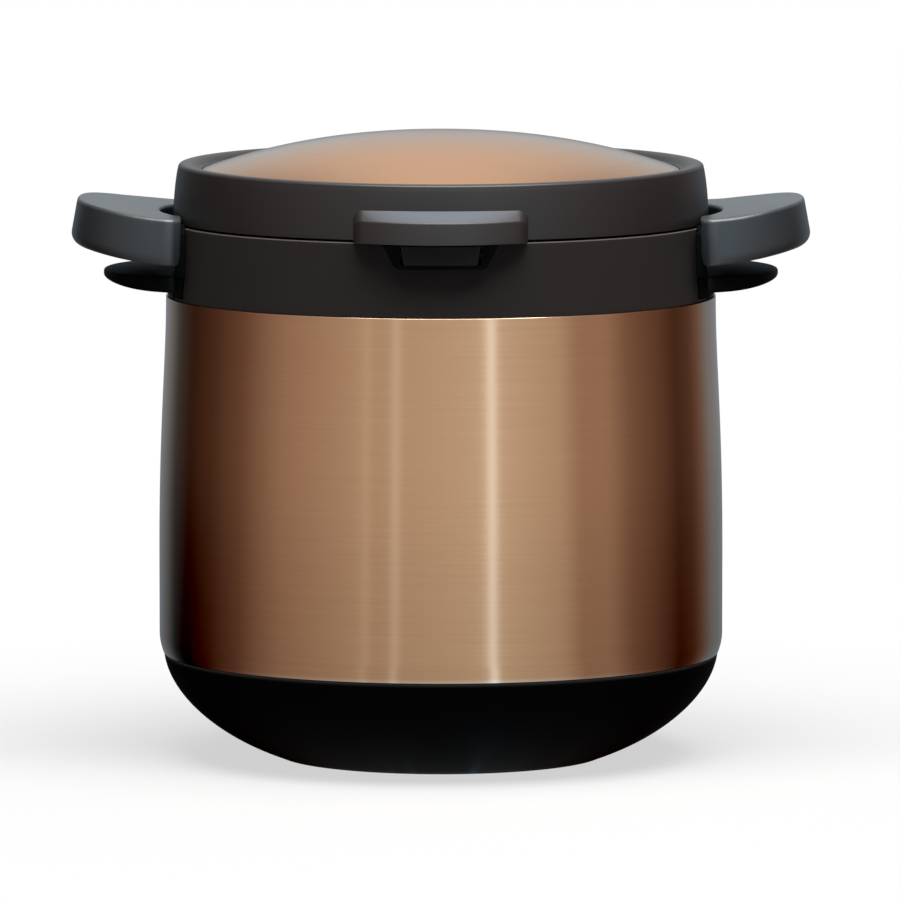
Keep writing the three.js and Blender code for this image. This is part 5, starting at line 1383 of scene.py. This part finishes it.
# %% The leaf, and the pin through both
LEAF_ARM, LEAF_ARM_TOP = 3 * mm, 5.3 * mm
PIN_HEAD = 2 * mm
leaf = box_piece(
    "hinge_leaf_moulding",
    (leaf_low.x, PLATE_FRONT, lid_z + fit), (leaf_high.x, leaf_back, leaf_high.z), ROUND,
)
leaf_arm = box_piece(
    "leaf_arm",
    (leaf_low.x, leaf_back - LEAF_ARM, lid_z + fit), (leaf_high.x, pin_y, lid_z + LEAF_ARM_TOP), BROAD,
)
carved(leaf, [drum_tool(lid_z - BEYOND)])
carved(leaf_arm, [pin_bore(leaf_low.x, leaf_high.x)])
joined(leaf, leaf_arm, knuckle(leaf_low.x, leaf_high.x))
keep(leaf, "lid", "lid_plastic", lid_brown, "hinge_leaf")

head_r = (pin_high.z - pin_low.z) / 2
shank_from, shank_to = pin_low.x + PIN_HEAD, pin_high.x - PIN_HEAD
pin_outline = [
    (0, pin_low.x), (head_r, pin_low.x, ROUND), (head_r, shank_from), (PIN_R, shank_from),
    (PIN_R, shank_to), (head_r, shank_to), (head_r, pin_high.x, ROUND), (0, pin_high.x),
]
pin = placed(turned("hinge_pin_piece", pin_outline, 48), lay_along_x)
keep(pin, "body", "steel", screw_steel, "hinge_pin")

# %% [markdown]
# ## Inside the lid
# Under the ring a dished pan closes the lid and carries the gasket that seals the mouth. They show
# as soon as the lid is open, so they get their rounded corners and sealing lips too.

# %% Pan and gasket
PLUG_GAP = 4.5 * mm
PAN_WALL = 1.6 * mm
PAN_CORNER, PAN_INNER_CORNER = 4 * mm, 3 * mm
BEAD_RADII = (46 * mm, 47.5 * mm, 60 * mm, 61.5 * mm)
BEAD_DEPTH = 0.8 * mm
GASKET_REACH = 1.7 * mm
GASKET_LIPS = (0.2, 0.62)  # shares of the gasket's height
LIP_PITCH = 0.7 * mm
pan_low, pan_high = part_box("lid_pan")
gasket_low, gasket_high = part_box("lid_gasket")
plug_r = mouth_r - PLUG_GAP
flange_low = pan_high.z - PAN_WALL
bead = zip(BEAD_RADII, (0, BEAD_DEPTH, BEAD_DEPTH, 0))
pan_outline = [
    (0, pan_low.z), *((r, pan_low.z + rise, SOFT) for r, rise in bead),
    (plug_r, pan_low.z, PAN_CORNER), (plug_r, flange_low), (pan_high.x, flange_low, LIGHT),
    (pan_high.x, pan_high.z, LIGHT), (plug_r - PAN_WALL, pan_high.z),
    (plug_r - PAN_WALL, pan_low.z + PAN_WALL, PAN_INNER_CORNER), (0, pan_low.z + PAN_WALL),
]
keep(turned("lid_pan_moulding", pan_outline), "lid", "pan_plastic", pan_grey, "lid_pan")
gasket_in, gasket_wall = plug_r + fit, plug_r + GASKET_REACH
gasket_outline = [(gasket_in, gasket_low.z), (gasket_wall, gasket_low.z, LIGHT)]
for share in GASKET_LIPS:
    z = gasket_low.z + (gasket_high.z - gasket_low.z) * share
    for i, r in enumerate((gasket_wall, gasket_high.x, gasket_wall)):
        gasket_outline.append((r, z + i * LIP_PITCH, FINE))
gasket_outline += [(gasket_wall, gasket_high.z, LIGHT), (gasket_in, gasket_high.z)]
keep(turned("lid_gasket_ring", gasket_outline), "lid", "silicone", seal_silicone, "lid_gasket")

# %% [markdown]
# ## The pot
# The removable pot is drawn stainless steel with a thick sandwich base, a rolled flange and its own
# lid with a black knob. A wire bail folds down onto the flange, held by two lugs.

# %% Turn the pot, its base and its lid
POT_FLANGE = 6.5 * mm
POT_SHEET = 0.9 * mm
POT_CORNER, POT_INNER_CORNER, RIM_FILLET = 14 * mm, 13 * mm, 1 * mm
pot_low, pot_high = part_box("inner_pot")
pot_r, rim_z = pot_high.x - POT_FLANGE, pot_high.z
pot_outline = [
    (0, pot_low.z), (pot_r, pot_low.z, POT_CORNER), (pot_r, rim_z - POT_SHEET, RIM_FILLET),
    (pot_high.x, rim_z - POT_SHEET, FINE), (pot_high.x, rim_z, LIGHT),
    (pot_r - POT_SHEET, rim_z, FULL),
    (pot_r - POT_SHEET, pot_low.z + POT_SHEET, POT_INNER_CORNER),
    (0, pot_low.z + POT_SHEET),
]
keep(turned("drawn_pot", pot_outline, soft=8), "body", "steel", pot_steel, "inner_pot")
disc_low, disc_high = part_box("pot_base_disc")
disc_outline = [
    (0, disc_low.z), (disc_high.x, disc_low.z, FULL), (disc_high.x, disc_high.z, MILD),
    (0, disc_high.z),
]
keep(turned("sandwich_base", disc_outline, 128), "body", "steel", pot_steel, "pot_base_disc")

COVER_SHEET = 0.8 * mm
COVER_BROW = 5 * mm
BROW_RISE = 2 * mm
cover_low, cover_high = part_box("pot_lid")
knob_low, knob_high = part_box("pot_knob")
crown_z, brow_r = cover_high.z, cover_high.x - COVER_BROW
plug = pot_r - POT_SHEET - fit


def crown_curve(bottom, top, start):
    return curve([(start, bottom), (start / 2, top), (knob_high.x, top)], 16)


cover_outline = [
    (0, crown_z - COVER_SHEET),
    *crown_curve(rim_z + BROW_RISE, crown_z - COVER_SHEET, brow_r - COVER_SHEET)[::-1],
    (plug - COVER_SHEET, cover_low.z), (plug, cover_low.z, CRISP), (plug, rim_z),
    (cover_high.x, rim_z, CRISP), (cover_high.x, rim_z + COVER_SHEET, LIGHT),
    *crown_curve(rim_z + COVER_SHEET + BROW_RISE, crown_z, brow_r),
    (0, crown_z),
]
keep(turned("pot_cover", cover_outline), "inner_lid", "steel", pot_steel, "pot_lid")

# %% Turn the knob
KNOB_NECK, NECK_HEIGHT, BROW_HEIGHT = 7 * mm, 4 * mm, 8 * mm
DISH_FROM, DISH_TO, DISH = 11 * mm, 10 * mm, 0.6 * mm
NECK_FILLET, BROW_ROUND, KNOB_ROUND = 1.5 * mm, 2 * mm, 4 * mm
knob_outline = [
    (0, knob_low.z), (KNOB_NECK, knob_low.z), (KNOB_NECK, knob_low.z + NECK_HEIGHT, NECK_FILLET),
    (knob_high.x, knob_low.z + BROW_HEIGHT, BROW_ROUND), (knob_high.x, knob_high.z, KNOB_ROUND),
    (DISH_FROM, knob_high.z, LIGHT), (DISH_TO, knob_high.z - DISH, LIGHT),
    (0, knob_high.z - DISH),
]
keep(turned("cover_knob", knob_outline, 96), "inner_lid", "black_plastic", latch_black, "pot_knob")

# %% Bend the bail and stamp its lugs
BAIL_BEND = 1.6 * mm
BAIL_INTO_LUG = 0.6 * mm
LUG_ROUND = 5 * mm
LUG_EDGE = 0.2 * mm
bail_low, bail_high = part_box("bail")
lug_low, lug_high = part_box("bail_lug_right")
bail_wire, bail_z = (bail_high.z - bail_low.z) / 2, (bail_high.z + bail_low.z) / 2
bail_reach = bail_high.x - bail_wire
path = [(lug_low.x - BAIL_INTO_LUG, 0, bail_z), (bail_reach - BAIL_BEND, 0, bail_z)]
path += curve([path[-1], (bail_reach, 0, bail_z), (bail_reach, -BAIL_BEND, bail_z)], 6)[1:]
for k in range(3, 94):
    a = math.pi * k / 96
    path.append((bail_reach * math.cos(a), -bail_reach * math.sin(a), bail_z))
path += [(-x, y, z) for x, y, z in path[:8]][::-1]
keep(wire("wire_bail", path, bail_wire, 16), "body", "steel", pot_steel, "bail")
lug_outline = softened([
    (lug_low.y, lug_low.z), (lug_high.y, lug_low.z),
    (lug_high.y, lug_high.z, LUG_ROUND), (lug_low.y, lug_high.z, LUG_ROUND),
])
for side, sign in (("right", 1), ("left", -1)):
    lug = skinned(
        "lug_plate_" + side, edged(lug_outline, lug_low.x, lug_high.x, LUG_EDGE, LUG_EDGE, sign)
    )
    ends = [(sign * x, 0, bail_z) for x in (lug_low.x - PAST, lug_high.x + PAST)]
    carved(lug, [wire("eye_tool", ends, bail_wire + fit, 24)])
    keep(lug, "body", "steel", pot_steel, "bail_lug_" + side)

# %% [markdown]
# ## The screws
# Twenty-two pan-head screws hold the cooker together. They are all one shape at several sizes: a
# domed head with a cross recess and a shank with a rolled thread. One function makes each from its
# CAD node's box, along the direction in which it was driven.

# %% One screw of any size
PITCH_SHARE = 0.42  # of a thread turn, to the shank's radius
THREAD_SHARE = 0.16  # of the thread's depth, to the shank's radius
CROSS_SHARE = 0.3  # of the recess's width, to the head's radius
CROWN_SHARE = 0.62  # of the head's flat crown and of the recess's length, to the head's radius
RIM_SHARE = 0.35  # of the head's rim, to its height, and of the point, to the shank's radius
THREAD_STEPS = 12


def screw(name, head_r, head, shank_r, length):
    """A screw whose head lies below the origin and whose shank points up."""
    body = turned(name, [
        (0, -head), (head_r * CROWN_SHARE, -head, head * 0.5), (head_r, -head * RIM_SHARE, head * 0.3),
        (head_r, 0), (shank_r, 0), (shank_r, length - shank_r), (shank_r * RIM_SHARE, length), (0, length),
    ], 24)
    arms = []
    for turn in (0, math.pi / 2):
        arm = box_piece(
            "cross_tool",
            (-head_r * CROWN_SHARE, -head_r * CROSS_SHARE / 2, -head * 1.5),
            (head_r * CROWN_SHARE, head_r * CROSS_SHARE / 2, -head * RIM_SHARE),
            head_r * 0.04,
        )
        arms.append(placed(arm, Matrix.Rotation(turn, 4, "Z")))
    carved(body, arms)
    pitch = shank_r * PITCH_SHARE
    thread_r = shank_r - shank_r * THREAD_SHARE
    path = []
    for k in range(max(3, int((length - 2 * shank_r) / pitch)) * THREAD_STEPS + 1):
        a = 2 * math.pi * k / THREAD_STEPS
        rise = shank_r + k / THREAD_STEPS * pitch
        path.append((thread_r * math.cos(a), thread_r * math.sin(a), rise))
    thread = wire("thread", [p for p in path if p[2] < length - shank_r], shank_r * THREAD_SHARE, 5)
    return joined(body, thread)


# %% All of them, by their boxes
SCREWS = {  # head height and shank radius in millimetres, and the axis that each kind is driven along
    "grip": (2.6, 1.9, "x"), "guard": (2.2, 1.6, "x"), "housing": (1.5, 1.1, "y"),
    "hook": (1.2, 1.1, "z"), "tab": (2, 1.5, "y"), "bracket": (2.2, 1.7, "y"), "leaf": (2, 1.5, "y"),
    "lid": (1.8, 1.4, "z"), "knob": (2.2, 2, "z"),
}
UP = Vector((0, 0, 1))
screws = sorted(name for name in frame["nodes"] if "_screw" in name)
for name in screws:
    head, shank_r, axis = SCREWS[name.split("_")[0]]
    head, shank_r = head * mm, shank_r * mm
    node_low, node_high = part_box(name)
    middle, size = (node_low + node_high) / 2, node_high - node_low
    along = {"x": Vector((math.copysign(1, middle.x), 0, 0)), "y": Vector((0, -1, 0)), "z": UP}[axis]
    span = abs(along.dot(size))
    head_r = max(abs(part) for part in size.cross(along)) / 2
    made = screw(name + "_piece", head_r, head, shank_r, span - head)
    start = Matrix.Translation(middle + along * (head - span / 2))
    placed(made, start @ UP.rotation_difference(along).to_matrix().to_4x4())
    keep(made, body_of(frame["nodes"][name])[0], "steel", screw_steel, name)
print(len(screws), "screws")

# %% [markdown]
# ## What the CAD model already shows
# The foam, the jacket's bottom plate and the cap over its port are plain turned shapes that hardly
# show. They stay as they are and only get their finishes.

# %% Dress the nodes that stay
plain = {"lid_foam": foam_cream, "bottom_plate": liner_steel, "vacuum_seal_cap": liner_steel}
for name, finish in plain.items():
    node = frame["nodes"][name]
    node.data.materials.clear()
    node.data.materials.append(finish)
print("kept:", [o.name for o in frame["nodes"].values() if not o.hide_render])

# %% Compare the size with the CAD box
visual_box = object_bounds()
for cad, visual in zip(cad_box, visual_box):
    print([round((b - a) / mm, 2) for a, b in zip(cad, visual)], "mm from the CAD box")
